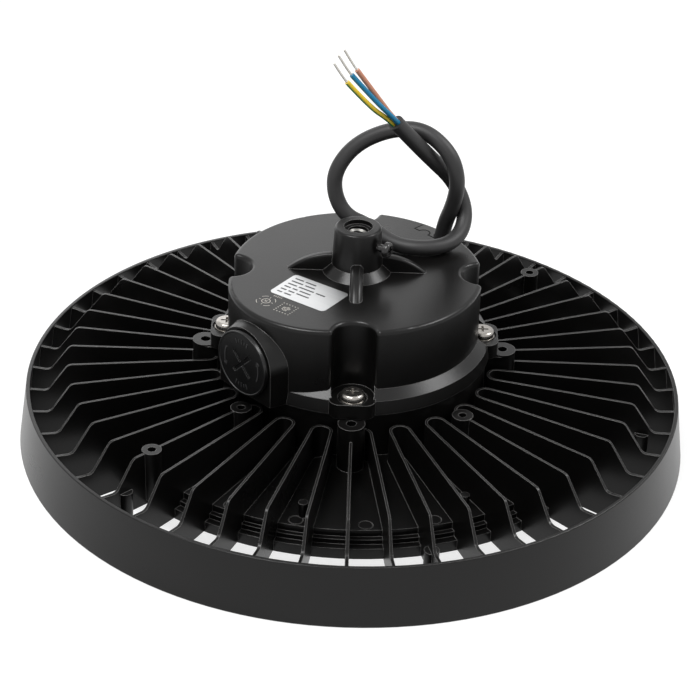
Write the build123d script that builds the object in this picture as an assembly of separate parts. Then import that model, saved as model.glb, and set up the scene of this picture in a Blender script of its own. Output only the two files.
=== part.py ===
"""Round high bay light with a finned heat sink, a driver housing on its back and a loose supply cable.

Millimetres. The origin is the centre of the rim's lower edge, +Z points up towards the pendant boss,
and the housing screw that faces the viewer lies on -Y.
"""
import math
import os

from build123d import *

# Rim
RIM_HEIGHT = 31.3
RIM_TOP_R = 170.0
RIM_FLARE = 4.3
RIM_WALL = 2.2
RIM_EDGE_ROUND = 0.5

# Base disc with its stepped flange, each step measured from the rim inwards, and the hub
RIM_GAP = 30.5
FLANGE_STEP = 3.8
PLATEAU_STEP = 2.7
DISC_TOP = 26.7
DISC_THICKNESS = 4.5
STEP_TOP = 23.0
FLANGE_TOP = 20.4
FLANGE_BOTTOM = 14.5
HUB_TOP = 50.3
HUB_R = 68.4
HUB_WALL = 5.9
LEAD_HOLE_R = 6.0

# Fins, joined two by two into hairpins
HAIRPINS = 24
FIN_TIP_R = 71.0
FIN_TOP_INNER = 44.6
FIN_KINK_INSET = 22.0
FIN_TOP_KINK = 44.3
FIN_DIP_INSET = 11.0
FIN_DIP_DROP = 2.0
FIN_RIM_DROP = 0.7
FIN_ROUND = 4.0
FIN_TOP_THICKNESS = 1.2
FIN_FOOT_THICKNESS = 2.0
FIN_FOOT = 15.3
FIN_SINK = 2.2

# Posts and bosses cast on the fins
MAIN_POST_RING = 77.2
MAIN_POST_R = 6.75
MAIN_POST_TOP = 51.3
MAIN_POST_HOLE_R = 2.5
MAIN_POST_HOLE_DEPTH = 18.0
SIDE_POST_RING = 78.5
SIDE_POST_R = 5.3
SIDE_POST_TOP = 44.9
SIDE_POST_HOLE_R = 2.1
SIDE_POST_HOLE_DEPTH = 15.0
TALL_POST_INSET = 3.0
TALL_POST_R = 4.85
TALL_POST_TOP = 44.7
TALL_POST_HOLE_R = 2.15
TALL_POST_HOLE_DEPTH = 16.0
TALL_POST_ANGLES = [45, 225]
LOW_BOSSES = 6
LOW_BOSS_TURN = 45.0
LOW_BOSS_INSET = 16.5
LOW_BOSS_R = 3.75
LOW_BOSS_TOP = 27.8
PIN_BOSS_INSET = 8.9
PIN_BOSS_R = 2.3
PIN_BOSS_TOP = 34.5
PIN_BOSS_ANGLES = [259.9, 296.8]

# Round grooves that the ejector pins left on the disc
EJECTOR_INSET = 4.4
EJECTOR_R = 3.6
EJECTOR_GROOVE = 0.35
EJECTOR_DEPTH = 0.4

# Driver housing
GASKET_THICKNESS = 1.5
WALL_R = 64.5
WALL = 2.5
CORNER_ROUND = 48.6
HOUSING_TOP = 95.5
ROOF = 4.0
TOP_ROUND = 2.0
SKIRT_TOP_R = 69.4
SKIRT_FOOT_R = 70.3
SKIRT_TOP = 58.9
SHOULDER_TOP = 63.1
SCALLOP_R = 10.8
SCALLOP_ROUND = 2.2
EAR_TOP = 59.7
EAR_REACH = 74.2
EAR_WIDTH = 23.0
EAR_ROUND = 5.5

# Housing screws
SCREW_RING = 66.2
SCREW_R = 3.0
SCREW_HEAD_R = 5.95
SCREW_HEAD = 3.6
SCREW_SEAT_R = 7.4
SCREW_SEAT_DEPTH = 1.4
SCREW_HOLE_DEPTH = 16.0
WASHER_R = 6.3
WASHER = 1.1
HOLE_CLEARANCE = 0.3
THREAD_CLEARANCE = 0.1
SCREW_TIP_GAP = 1.5
HEAD_ROUND_SHARE = 0.45
CROSS_LENGTH = 6.0
CROSS_WIDTH = 1.1
CROSS_DEPTH = 1.6

# Pendant boss, its ribs and its set screw
BOSS_TOP = 120.3
BOSS_TOP_R = 11.8
BOSS_FOOT_R = 13.0
BOSS_FLARE_R = 17.5
BOSS_FLARE_HEIGHT = 4.3
BOSS_ROUND = 1.2
BOSS_MOUTH_R = 7.35
BOSS_MOUTH_DEPTH = 2.5
PENDANT_THREAD_R = 5.2
PENDANT_THREAD_LENGTH = 20.5
RIB_REACH = 35.5
RIB_TOP = 104.8
RIB_MIDDLE_R = 26.0
RIB_MIDDLE_TOP = 101.8
RIB_WIDTH = 4.0
FRONT_RIB_WIDTH = 6.4
RIB_ROUND = 1.2
FRONT_RIB_ROUND = 2.6
SET_SCREW_ANGLE = -30.0
SET_SCREW_DROP = 8.5
SET_SCREW_R = 2.0
SET_SCREW_HEAD_R = 4.0
SET_SCREW_HEAD = 2.8
SET_SCREW_HEAD_RHO = 16.2
SET_SCREW_TIP_RHO = 7.0
SET_SCREW_CROSS = 4.4

# Sensor port and its blanking plug
PORT_ANGLE = 225.0
PORT_Z = 70.3
PORT_BOSS_FOOT_R = 22.2
PORT_BOSS_R = 18.6
PORT_BOSS_FACE = 76.0
PORT_HOLE_R = 13.6
PORT_SEAL = 0.9
PORT_SEAL_R = 16.6
PLUG_R = 17.3
PLUG_THICKNESS = 1.5
PLUG_BEAD = 0.3
PLUG_BEAD_WIDTH = 1.0
PLUG_BEAD_ROUND = 0.25
PLUG_SHANK_LENGTH = 11.0
PLUG_SHANK_WALL = 2.4
PLUG_SLOT = 16.5
PLUG_SLOT_WIDTH = 2.2
PLUG_SLOT_DEPTH = 0.9
PLUG_SLOT_TURN = 45.0

# Rating label on the roof
LABEL_LENGTH = 33.5
LABEL_WIDTH = 22.6
LABEL_ROUND = 2.4
LABEL_THICKNESS = 0.15
LABEL_X = -23.4
LABEL_Y = -26.6
LABEL_TURN = -34.2

# Cable entry in the roof's edge
ENTRY_ANGLE = 45.0
ENTRY_CHORD = 54.6
ENTRY_HALF_WIDTH = 12.3
ENTRY_DEPTH = 8.0
ENTRY_GAP = 0.2
ENTRY_NOTCH_R = 3.25
ENTRY_NOTCH_ACROSS = 5.65
TIE_WIDTH = 3.6
TIE_THICKNESS = 1.1
TIE_HEAD = 4.6
TIE_DROP = 1.5

# Supply cable, its cores and the route it takes
CABLE_D = 7.6
CORE_D = 2.6
CORE_RING = 1.6
STRAND_D = 1.3
CABLE_CLEARANCE = 0.25
CABLE_ROUTE = [
    (42.4, 38.4, 80.0),
    (44.1, 40.1, 100.0),
    (46.8, 34.0, 118.0),
    (50.2, 31.2, 133.5),
    (46.0, 34.5, 148.5),
    (32.0, 42.0, 157.5),
    (14.0, 45.0, 153.5),
    (-3.0, 45.0, 144.5),
    (-13.0, 42.0, 131.0),
    (-13.2, 39.8, 118.1),
    (-6.8, 36.1, 107.2),
    (5.7, 34.4, 102.8),
    (18.7, 19.5, 99.5),
    (34.0, 16.4, 99.5),
    (47.2, 21.6, 99.6),
    (54.6, 31.0, 104.0),
    (55.8, 39.6, 113.5),
    (48.2, 44.0, 127.0),
    (36.0, 37.5, 141.5),
    (25.8, 30.5, 155.0),
    (17.0, 24.5, 167.0),
]
# Each core's route goes on from the jacket's end: its middle, its end and the tip of its bare strands
EARTH_ROUTE = [(3.8, 18.0, 177.8), (-8.1, 14.8, 192.4), (-14.7, 12.2, 203.2)]
BLUE_ROUTE = [(6.4, 21.0, 179.6), (-6.0, 17.6, 195.2), (-12.7, 15.2, 206.3)]
BROWN_ROUTE = [(9.0, 18.8, 181.0), (-3.4, 18.4, 197.6), (-9.9, 16.2, 208.9)]
CORE_TURNS = {"earth": 210.0, "blue": 90.0, "brown": 330.0}
CORE_EXIT = 5.0
STRAND_STRAIGHT = 3.0
LEAD_DROP = 8.0
LEAD_SWING = 3.5
LEAD_SPREAD = 2.0
LEAD_RISE = 6.0
LEAD_APPROACH = 8.0

# Driver board, hung from pillars cast under the roof
BOARD_HALF = 39.0
BOARD_ROUND = 5.0
BOARD_THICKNESS = 1.6
BOARD_BOTTOM = 52.0
PILLAR_R = 4.0
PILLAR_HOLE_R = 1.45
PILLAR_HOLE_DEPTH = 9.0
PILLARS = [(-33.0, 33.0), (-33.0, -33.0), (33.0, -33.0), (34.0, 12.0)]
BOARD_SCREW_R = 1.4
BOARD_SCREW_HEAD_R = 2.8
BOARD_SCREW_HEAD = 2.0
BOARD_SCREW_LENGTH = 8.0

# Parts on the driver board: centre x, centre y, length, width, height
TRANSFORMER = (-10.0, -8.0, 32.0, 30.0, 33.0)
BOOST_CHOKE = (-12.0, 22.0, 26.0, 23.0, 26.0)
FILTER_CHOKE = (17.0, 11.5, 18.0, 17.0, 20.0)
FILM_CAPACITOR = (-8.0, -31.0, 18.0, 8.0, 15.0)
INPUT_TERMINAL = (19.0, 31.0, 15.0, 9.6, 11.0)
CAPACITOR_POINTS = [(18.5, -8.0), (18.5, -26.5)]
CAPACITOR_R = 8.0
CAPACITOR_HEIGHT = 32.0
SPREADER_X = -36.5
SPREADER_LENGTH = 48.0
SPREADER_THICKNESS = 2.5
SPREADER_FOOT = 8.5
TRANSISTOR_PITCH = 16.0
TRANSISTOR_WIDTH = 10.0
TRANSISTOR_DEPTH = 4.5
TRANSISTOR_HEIGHT = 15.0
TRANSISTOR_LIFT = 9.0
LEG_PITCH = 2.5
LEG_THICKNESS = 0.8
LEG_WIDTH = 1.0
BOBBIN_FLANGE = 2.5
BOBBIN_INSET = 4.0
WINDING_INSET = 2.0
FERRITE_INSET = 12.0
CHOKE_FLANGE = 3.0
CHOKE_INSET = 8.0
FILTER_BASE = 2.0
FILTER_HOLE_R = 5.0
FILTER_RING_HALF = 4.2
FILM_ROUND = 0.8
CAPACITOR_ROUND = 1.0
TERMINAL_LIFT = 5.0
TERMINAL_PITCH = 3.0
TERMINAL_HOLE_R = 1.1

# LED board and what joins it to the driver
LED_BOARD_GAP = 1.5
LED_BOARD_THICKNESS = 1.6
THERMAL_SHEET = 0.5
LED_RING = 28.0
LED_RING_PITCH = 20.0
LED_RING_COUNT = 8
LED_RING_MORE = 6
LED_EDGE = 8.0
LED_SIDE = 3.0
LED_HEIGHT = 0.7
LED_INNER_SCREWS = 4
LED_OUTER_SCREWS = 8
LED_SCREW_EDGE = 4.0
LED_SCREW_R = 1.5
LED_SCREW_HEAD_R = 2.75
LED_SCREW_HEAD = 1.8
LED_SCREW_LENGTH = 5.4
LEAD_PLUG_LENGTH = 13.6
LEAD_PLUG_WIDTH = 10.6
LEAD_PLUG_HEIGHT = 6.3
LED_LEAD_D = 1.8
# Route of the wire on the +Y side, from the driver board to the plug; the other wire mirrors it
LED_LEAD_ROUTE = [
    (-24.0, 5.0, 52.0),
    (-24.0, 5.0, 42.0),
    (-20.5, 4.0, 33.5),
    (-14.0, 2.2, 29.2),
    (-6.8, 2.2, 29.2),
]

# Lens
LENS_GASKET = 1.0
LENS_INSET = 6.5
LENS_SEAT = 12.0
LENS_THICKNESS = 3.0
DOME_R = 6.0
DOME_HEIGHT = 3.5
LENS_SCREWS = 12
LENS_SCREW_TURN = 7.5
LENS_SCREW_R = 1.75
LENS_SCREW_HEAD_R = 3.4
LENS_SCREW_HEAD = 2.4
LENS_SCREW_LENGTH = 8.5

# Places that follow from the sizes above
FLANGE_R = RIM_TOP_R - RIM_GAP
STEP_R = FLANGE_R - FLANGE_STEP
PLATEAU_R = STEP_R - PLATEAU_STEP
FIN_KINK_R = RIM_TOP_R - FIN_KINK_INSET
FIN_DIP_R = RIM_TOP_R - FIN_DIP_INSET
LOW_BOSS_RING = RIM_TOP_R - LOW_BOSS_INSET
TALL_POST_RING = FLANGE_R - TALL_POST_INSET
PIN_BOSS_RING = PLATEAU_R - PIN_BOSS_INSET
EJECTOR_RING = PLATEAU_R - EJECTOR_INSET
LENS_R = FLANGE_R - LENS_INSET
POCKET_R = LENS_R - LENS_SEAT
LENS_SCREW_RING = (LENS_R + POCKET_R) / 2
LED_BOARD_R = POCKET_R - LED_BOARD_GAP
DISC_UNDER = DISC_TOP - DISC_THICKNESS
HUB_INNER_R = HUB_R - HUB_WALL
HOUSING_FOOT = HUB_TOP + GASKET_THICKNESS
CEILING = HOUSING_TOP - ROOF
SEAT_Z = EAR_TOP - SCREW_SEAT_DEPTH
SCREW_ANGLES = [0, 90, 180, 270]
BOARD_TOP = BOARD_BOTTOM + BOARD_THICKNESS
LED_BOARD_TOP = DISC_UNDER - THERMAL_SHEET
LED_BOARD_UNDER = LED_BOARD_TOP - LED_BOARD_THICKNESS
LENS_TOP = FLANGE_BOTTOM - LENS_GASKET
LENS_UNDER = LENS_TOP - LENS_THICKNESS
PLUG_FACE = PORT_BOSS_FACE + PORT_SEAL + PLUG_THICKNESS
PORT_FOOT = WALL_R - WALL
SET_SCREW_Z = BOSS_TOP - SET_SCREW_DROP
POSTS_TOP = max(MAIN_POST_TOP, SIDE_POST_TOP, TALL_POST_TOP, FIN_TOP_INNER)


def lift(z):
    """Placement straight up the axis."""
    return Pos(0, 0, z)


def polar(radius, angle, z=0.0):
    """Placement on a circle round the axis, turned so that its local X points outwards."""
    return Rot(0, 0, angle) * Pos(radius, 0, z)


def cylinder(radius, bottom, top):
    """Upright cylinder between two heights."""
    return lift(bottom) * extrude(Circle(radius), top - bottom)


def block(x, y, length, width, bottom, top):
    """Upright block between two heights, centred in plan."""
    return Pos(x, y, bottom) * extrude(Rectangle(length, width), top - bottom)


def turned(points):
    """Solid of revolution from an outline of radius and height."""
    return revolve(Plane.XZ * make_face(Polyline(*points, close=True)), Axis.Z)


def cross_recess(length, width, depth):
    """Plus-shaped cut that goes down from the origin."""
    arms = Rectangle(length, width) + Rectangle(width, length)
    return extrude(arms, -depth)


def pan_head(radius, height, rounding):
    """Domed screw head that stands up from the origin."""
    head = cylinder(radius, 0, height)
    return fillet(head.edges().group_by(Axis.Z)[-1], rounding)


def rim():
    """Flared outer wall that carries the light when it stands on a table."""
    section = Polyline(
        (RIM_TOP_R - RIM_WALL, RIM_HEIGHT),
        (RIM_TOP_R, RIM_HEIGHT),
        (RIM_TOP_R + RIM_FLARE, 0),
        (RIM_TOP_R + RIM_FLARE - RIM_WALL, 0),
        close=True,
    )
    face = make_face(section)
    face = fillet(face.vertices(), RIM_EDGE_ROUND)
    return revolve(Plane.XZ * face, Axis.Z)


def base_disc():
    """Disc with its stepped flange, the pocket under it and the hub that carries the housing."""
    return turned([
        (LEAD_HOLE_R, DISC_UNDER),
        (POCKET_R, DISC_UNDER),
        (POCKET_R, FLANGE_BOTTOM),
        (FLANGE_R, FLANGE_BOTTOM),
        (FLANGE_R, FLANGE_TOP),
        (STEP_R, FLANGE_TOP),
        (STEP_R, STEP_TOP),
        (PLATEAU_R, STEP_TOP),
        (PLATEAU_R, DISC_TOP),
        (HUB_R, DISC_TOP),
        (HUB_R, HUB_TOP),
        (HUB_INNER_R, HUB_TOP),
        (HUB_INNER_R, DISC_TOP),
        (LEAD_HOLE_R, DISC_TOP),
    ])


def fin_top(radius):
    """Height of a fin's upper edge inside the kink."""
    fall = (FIN_TOP_INNER - FIN_TOP_KINK) / (FIN_KINK_R - FIN_TIP_R)
    return FIN_TOP_INNER - fall * (radius - FIN_TIP_R)


def fin_half(z):
    """Half of the fin's thickness at a height: it is drafted, thinner at the top."""
    share = (FIN_TOP_INNER - z) / (FIN_TOP_INNER - FIN_FOOT)
    return (FIN_TOP_THICKNESS + share * (FIN_FOOT_THICKNESS - FIN_TOP_THICKNESS)) / 2


def hairpin():
    """Two radial fins and the bend that joins them at their inner ends, centred on +X."""
    half_angle = 180.0 / HAIRPINS / 2
    sine = math.sin(math.radians(half_angle))
    centre = FIN_TIP_R / (1 - sine)
    bend_r = centre * sine
    start = centre * math.cos(math.radians(half_angle))
    foot_inner = DISC_TOP - FIN_SINK
    step = (POCKET_R + PLATEAU_R) / 2
    rim_middle = RIM_WALL / 2
    outer_top = RIM_HEIGHT - FIN_RIM_DROP
    outer_foot_r = RIM_TOP_R + RIM_FLARE * (1 - FIN_FOOT / RIM_HEIGHT) - rim_middle
    side = make_face(Polyline(
        (start, foot_inner),
        (start, fin_top(start)),
        (FIN_KINK_R, fin_top(FIN_KINK_R)),
        (FIN_DIP_R, RIM_HEIGHT - FIN_DIP_DROP),
        (RIM_TOP_R - rim_middle, outer_top),
        (outer_foot_r, FIN_FOOT),
        (step, FIN_FOOT),
        (step, foot_inner),
        close=True,
    ))
    kinks = [v for v in side.vertices() if FIN_KINK_R <= v.X <= FIN_DIP_R]
    side = fillet(kinks, FIN_ROUND)
    slab = extrude(Plane.XZ * side, FIN_FOOT_THICKNESS, both=True)
    top = fin_top(start)
    wedge = make_face(Polyline(
        (-fin_half(FIN_FOOT), FIN_FOOT),
        (fin_half(FIN_FOOT), FIN_FOOT),
        (fin_half(top), top),
        (-fin_half(top), top),
        close=True,
    ))
    fin = slab & extrude(Plane.YZ * wedge, RIM_TOP_R + RIM_FLARE)
    section = make_face(Polyline(
        (bend_r - fin_half(foot_inner), foot_inner),
        (bend_r + fin_half(foot_inner), foot_inner),
        (bend_r + fin_half(top), top),
        (bend_r - fin_half(top), top),
        close=True,
    ))
    bend = revolve(Plane.XZ * section, Axis.Z, 180 - 2 * half_angle)
    bend = Pos(centre, 0, 0) * Rot(0, 0, 90 + half_angle) * bend
    return bend + Rot(0, 0, half_angle) * fin + Rot(0, 0, -half_angle) * fin


def post(ring, angle, radius, bottom, top):
    """Round cast post."""
    return polar(ring, angle) * cylinder(radius, bottom, top)


def heat_sink():
    """Die-cast heat sink: disc, hub, fins, rim and posts in one piece."""
    foot = DISC_TOP - FIN_SINK
    pitch = 360.0 / HAIRPINS
    fin_angle = pitch / 4
    pair = hairpin()
    pieces = [rim()]
    pieces += [Rot(0, 0, pitch * n + fin_angle) * pair for n in range(HAIRPINS)]
    for angle in SCREW_ANGLES:
        pieces.append(post(MAIN_POST_RING, angle, MAIN_POST_R, foot, MAIN_POST_TOP))
        pieces.append(post(SCREW_RING, angle, MAIN_POST_R, foot, HUB_TOP))
        web_middle = (MAIN_POST_RING + SCREW_RING) / 2
        web = block(web_middle, 0, MAIN_POST_RING - SCREW_RING, 2 * MAIN_POST_R, foot, HUB_TOP)
        pieces.append(Rot(0, 0, angle) * web)
        pieces.append(post(SIDE_POST_RING, angle + 45, SIDE_POST_R, foot, SIDE_POST_TOP))
    for angle in TALL_POST_ANGLES:
        tall_foot = (FLANGE_BOTTOM + FLANGE_TOP) / 2
        pieces.append(post(TALL_POST_RING, angle, TALL_POST_R, tall_foot, TALL_POST_TOP))
    for n in range(LOW_BOSSES):
        angle = LOW_BOSS_TURN + 360.0 / LOW_BOSSES * n
        pieces.append(post(LOW_BOSS_RING, angle, LOW_BOSS_R, FLANGE_BOTTOM, LOW_BOSS_TOP))
    for angle in PIN_BOSS_ANGLES:
        pieces.append(post(PIN_BOSS_RING, angle, PIN_BOSS_R, foot, PIN_BOSS_TOP))
    body = base_disc().fuse(*pieces)
    holes = []
    for angle in SCREW_ANGLES:
        holes.append(post(SCREW_RING, angle, SCREW_R + THREAD_CLEARANCE, HUB_TOP - SCREW_HOLE_DEPTH, POSTS_TOP))
        bottom = MAIN_POST_TOP - MAIN_POST_HOLE_DEPTH
        holes.append(post(MAIN_POST_RING, angle, MAIN_POST_HOLE_R, bottom, POSTS_TOP))
        bottom = SIDE_POST_TOP - SIDE_POST_HOLE_DEPTH
        holes.append(post(SIDE_POST_RING, angle + 45, SIDE_POST_HOLE_R, bottom, POSTS_TOP))
    for angle in TALL_POST_ANGLES:
        bottom = TALL_POST_TOP - TALL_POST_HOLE_DEPTH
        holes.append(post(TALL_POST_RING, angle, TALL_POST_HOLE_R, bottom, POSTS_TOP))
    holes += lens_screw_holes(THREAD_CLEARANCE, LENS_UNDER + LENS_SCREW_LENGTH)
    holes += led_screw_holes(THREAD_CLEARANCE, LED_BOARD_UNDER + LED_SCREW_LENGTH)
    holes += [polar(EJECTOR_RING, pitch * n + fin_angle) * ejector_groove() for n in range(HAIRPINS)]
    return body.cut(*holes)


def ejector_groove():
    """Thin ring cut into the top of the disc."""
    ring = Circle(EJECTOR_R) - Circle(EJECTOR_R - EJECTOR_GROOVE)
    return lift(DISC_TOP - EJECTOR_DEPTH) * extrude(ring, EJECTOR_DEPTH)


def lens_screw_angles():
    """Directions of the lens screws."""
    return [LENS_SCREW_TURN + 360.0 / LENS_SCREWS * n for n in range(LENS_SCREWS)]


def led_screw_places():
    """Ring and direction of each screw of the LED board."""
    inner = LED_RING + LED_RING_PITCH / 2
    outer = LED_BOARD_R - LED_SCREW_EDGE
    places = [(inner, 360.0 / LED_INNER_SCREWS * n) for n in range(LED_INNER_SCREWS)]
    return places + [(outer, 360.0 / LED_OUTER_SCREWS * n) for n in range(LED_OUTER_SCREWS)]


def lens_screw_holes(clearance, top):
    """Holes for the lens screws, from the underside up to a height."""
    radius = LENS_SCREW_R + clearance
    return [post(LENS_SCREW_RING, angle, radius, LENS_UNDER, top) for angle in lens_screw_angles()]


def led_screw_holes(clearance, top):
    """Holes for the screws of the LED board, from the underside up to a height."""
    radius = LED_SCREW_R + clearance
    return [post(ring, angle, radius, LED_BOARD_UNDER, top) for ring, angle in led_screw_places()]


def led_places():
    """Ring and direction of each LED: each ring further out carries a few more."""
    places = []
    ring, count = LED_RING, LED_RING_COUNT
    while ring <= LED_BOARD_R - LED_EDGE:
        places += [(ring, 360.0 / count * (n + 0.5)) for n in range(count)]
        ring += LED_RING_PITCH
        count += LED_RING_MORE
    return places


def wall_outline(inset=0.0, scallops=True):
    """Plan of the housing's wall, moved inwards by inset: round, but fuller towards the sensor port."""
    radius = WALL_R - inset
    bend = CORNER_ROUND - inset
    run = radius - bend
    across = math.cos(math.radians(PORT_ANGLE))
    along = math.sin(math.radians(PORT_ANGLE))
    outline = make_face([
        ThreePointArc((0, -radius), (-radius * across, -radius * along), (-radius, 0)),
        Line((-radius, 0), (-radius, -run)),
        ThreePointArc((-radius, -run), (bend * across - run, bend * along - run), (-run, -radius)),
        Line((-run, -radius), (0, -radius)),
    ])
    if not scallops:
        return outline
    for angle in SCREW_ANGLES:
        outline -= polar(WALL_R, angle) * Circle(SCALLOP_R + inset)
    return outline


def scallop_corners(outline):
    """Corners where the scallops meet the wall."""
    found = []
    for vertex in outline.vertices():
        for angle in SCREW_ANGLES:
            centre = polar(WALL_R, angle).position
            gap = math.hypot(vertex.X - centre.X, vertex.Y - centre.Y)
            if abs(gap - SCALLOP_R) < SCALLOP_ROUND / 10:
                found.append(vertex)
    return found


def rib(width, rounding):
    """Web that runs from the pendant boss down to the roof, along +X."""
    side = make_face([
        Line((0, CEILING), (RIB_REACH, CEILING)),
        Line((RIB_REACH, CEILING), (RIB_REACH, HOUSING_TOP)),
        ThreePointArc((RIB_REACH, HOUSING_TOP), (RIB_MIDDLE_R, RIB_MIDDLE_TOP), (BOSS_FOOT_R, RIB_TOP)),
        Line((BOSS_FOOT_R, RIB_TOP), (0, RIB_TOP)),
        Line((0, RIB_TOP), (0, CEILING)),
    ])
    web = extrude(Plane.XZ * side, width / 2, both=True)
    return fillet(web.edges().filter_by(GeomType.CIRCLE), rounding)


def pendant_boss():
    """Boss on the roof with its foot flare."""
    flare_top = HOUSING_TOP + BOSS_FLARE_HEIGHT
    boss = turned([
        (0, CEILING),
        (BOSS_FLARE_R, CEILING),
        (BOSS_FLARE_R, HOUSING_TOP),
        (BOSS_FOOT_R, flare_top),
        (BOSS_TOP_R, BOSS_TOP),
        (0, BOSS_TOP),
    ])
    return fillet(boss.edges().group_by(Axis.Z)[-1], BOSS_ROUND)


def port_frame(rho):
    """Placement on the port's axis, with local Z pointing outwards."""
    return Rot(0, 0, PORT_ANGLE) * Pos(rho, 0, PORT_Z) * Rot(0, 90, 0)


def entry_frame():
    """Placement on the axis, with local X pointing at the cable entry."""
    return Rot(0, 0, ENTRY_ANGLE)


def entry_pocket(gap):
    """Space in the roof's edge that the cable entry fills, less a gap all round."""
    reach = SKIRT_FOOT_R
    length = reach - ENTRY_CHORD - gap
    width = 2 * (ENTRY_HALF_WIDTH - gap)
    plan = Pos(ENTRY_CHORD + gap + length / 2, 0) * Rectangle(length, width)
    plan -= Pos(ENTRY_CHORD, ENTRY_NOTCH_ACROSS) * Circle(ENTRY_NOTCH_R + gap)
    return entry_frame() * lift(HOUSING_TOP - ENTRY_DEPTH) * extrude(plan, ENTRY_DEPTH)


def housing_shell():
    """Housing before its hollow, holes and pocket are cut."""
    outline = wall_outline()
    outline = fillet(scallop_corners(outline), SCALLOP_ROUND)
    upper = lift(EAR_TOP) * extrude(outline, HOUSING_TOP - EAR_TOP)
    upper = fillet(upper.edges().group_by(Axis.Z)[-1], TOP_ROUND)
    foot = lift(HOUSING_FOOT) * extrude(wall_outline(scallops=False), EAR_TOP - HOUSING_FOOT)
    slope = (SHOULDER_TOP - SKIRT_TOP) / (SKIRT_TOP_R - WALL_R)
    hidden_r = WALL_R - 2 * WALL
    hidden_top = SHOULDER_TOP + slope * (WALL_R - hidden_r)
    skirt = turned([
        (0, HOUSING_FOOT),
        (SKIRT_FOOT_R, HOUSING_FOOT),
        (SKIRT_TOP_R, SKIRT_TOP),
        (hidden_r, hidden_top),
        (0, hidden_top),
    ])
    for angle in SCREW_ANGLES:
        skirt -= polar(WALL_R, angle) * cylinder(SCALLOP_R, EAR_TOP, hidden_top)
    return upper + foot + skirt


def port_boss():
    """Block of the sensor port: round above the port's axis and straight down to the foot below it."""
    cone = Cone(
        PORT_BOSS_FOOT_R, PORT_BOSS_R, PORT_BOSS_FACE - PORT_FOOT, align=(Align.CENTER, Align.CENTER, Align.MIN)
    )
    dome = split(port_frame(PORT_FOOT) * cone, Plane.XY.offset(PORT_Z), keep=Keep.TOP)
    plan = make_face(Polyline(
        (PORT_FOOT, -PORT_BOSS_FOOT_R),
        (PORT_BOSS_FACE, -PORT_BOSS_R),
        (PORT_BOSS_FACE, PORT_BOSS_R),
        (PORT_FOOT, PORT_BOSS_FOOT_R),
        close=True,
    ))
    lower = lift(HOUSING_FOOT) * extrude(plan, PORT_Z - HOUSING_FOOT)
    return dome + Rot(0, 0, PORT_ANGLE) * lower


def ear(angle):
    """Lug under a housing screw."""
    length = 2 * (EAR_REACH - SCREW_RING)
    plan = Rectangle(length, EAR_WIDTH)
    plan = fillet([v for v in plan.vertices() if v.X > 0], EAR_ROUND)
    return polar(SCREW_RING, angle, HOUSING_FOOT) * extrude(plan, EAR_TOP - HOUSING_FOOT)


def driver_housing():
    """Die-cast housing of the driver."""
    shell = housing_shell()
    additions = [ear(angle) for angle in SCREW_ANGLES]
    additions.append(pendant_boss())
    additions += [Rot(0, 0, angle) * rib(RIB_WIDTH, RIB_ROUND) for angle in (0, 90, 180)]
    additions.append(Rot(0, 0, 270) * rib(FRONT_RIB_WIDTH, FRONT_RIB_ROUND))
    additions.append(port_boss())
    shell = shell.fuse(*additions)
    hollow = lift(HOUSING_FOOT) * extrude(wall_outline(WALL), CEILING - HOUSING_FOOT)
    shell = shell - hollow
    pillars = [Pos(x, y, 0) * cylinder(PILLAR_R, BOARD_TOP, HOUSING_TOP - ROOF / 2) for x, y in PILLARS]
    shell = shell.fuse(*pillars)
    hole_top = BOARD_TOP + PILLAR_HOLE_DEPTH
    cuts = [Pos(x, y, 0) * cylinder(PILLAR_HOLE_R, BOARD_TOP, hole_top) for x, y in PILLARS]
    for angle in SCREW_ANGLES:
        cuts.append(post(SCREW_RING, angle, SCREW_R + HOLE_CLEARANCE, HOUSING_FOOT, SEAT_Z))
        cuts.append(post(SCREW_RING, angle, SCREW_SEAT_R, SEAT_Z, EAR_TOP))
    cuts.append(port_frame(PORT_FOOT) * extrude(Circle(PORT_HOLE_R), PLUG_FACE - PORT_FOOT))
    groove_r = CABLE_D / 2 + TIE_THICKNESS + HOLE_CLEARANCE
    cuts.append(exit_cylinder(groove_r, CABLE_ROUTE[0][2], HOUSING_TOP - ENTRY_DEPTH))
    thread_bottom = BOSS_TOP - BOSS_MOUTH_DEPTH - PENDANT_THREAD_LENGTH
    cuts.append(cylinder(PENDANT_THREAD_R, thread_bottom, BOSS_TOP))
    cuts.append(cylinder(BOSS_MOUTH_R, BOSS_TOP - BOSS_MOUTH_DEPTH, BOSS_TOP))
    cuts.append(set_screw_frame(0) * extrude(Circle(SET_SCREW_R + THREAD_CLEARANCE), SET_SCREW_HEAD_RHO))
    cuts.append(entry_pocket(0))
    return shell.cut(*cuts)


def set_screw_frame(rho):
    """Placement on the set screw's axis, with local Z pointing outwards."""
    return Rot(0, 0, SET_SCREW_ANGLE) * Pos(rho, 0, SET_SCREW_Z) * Rot(0, 90, 0)


def machine_screw(radius, length, head_r, head, cross):
    """Screw with a pan head: the shank goes down from the origin and the head stands on it."""
    body = cylinder(radius, -length, 0) + pan_head(head_r, head, head * HEAD_ROUND_SHARE)
    return body - lift(head) * cross_recess(cross, CROSS_WIDTH, CROSS_DEPTH)


def housing_screw():
    """One of the screws that hold the housing to the hub."""
    length = SEAT_Z + WASHER - (HUB_TOP - SCREW_HOLE_DEPTH) - SCREW_TIP_GAP
    return machine_screw(SCREW_R, length, SCREW_HEAD_R, SCREW_HEAD, CROSS_LENGTH)


def washer():
    """Flat washer and spring washer, pressed together under the head."""
    flat = Circle(WASHER_R) - Circle(SCREW_R + THREAD_CLEARANCE)
    return extrude(flat, WASHER)


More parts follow.
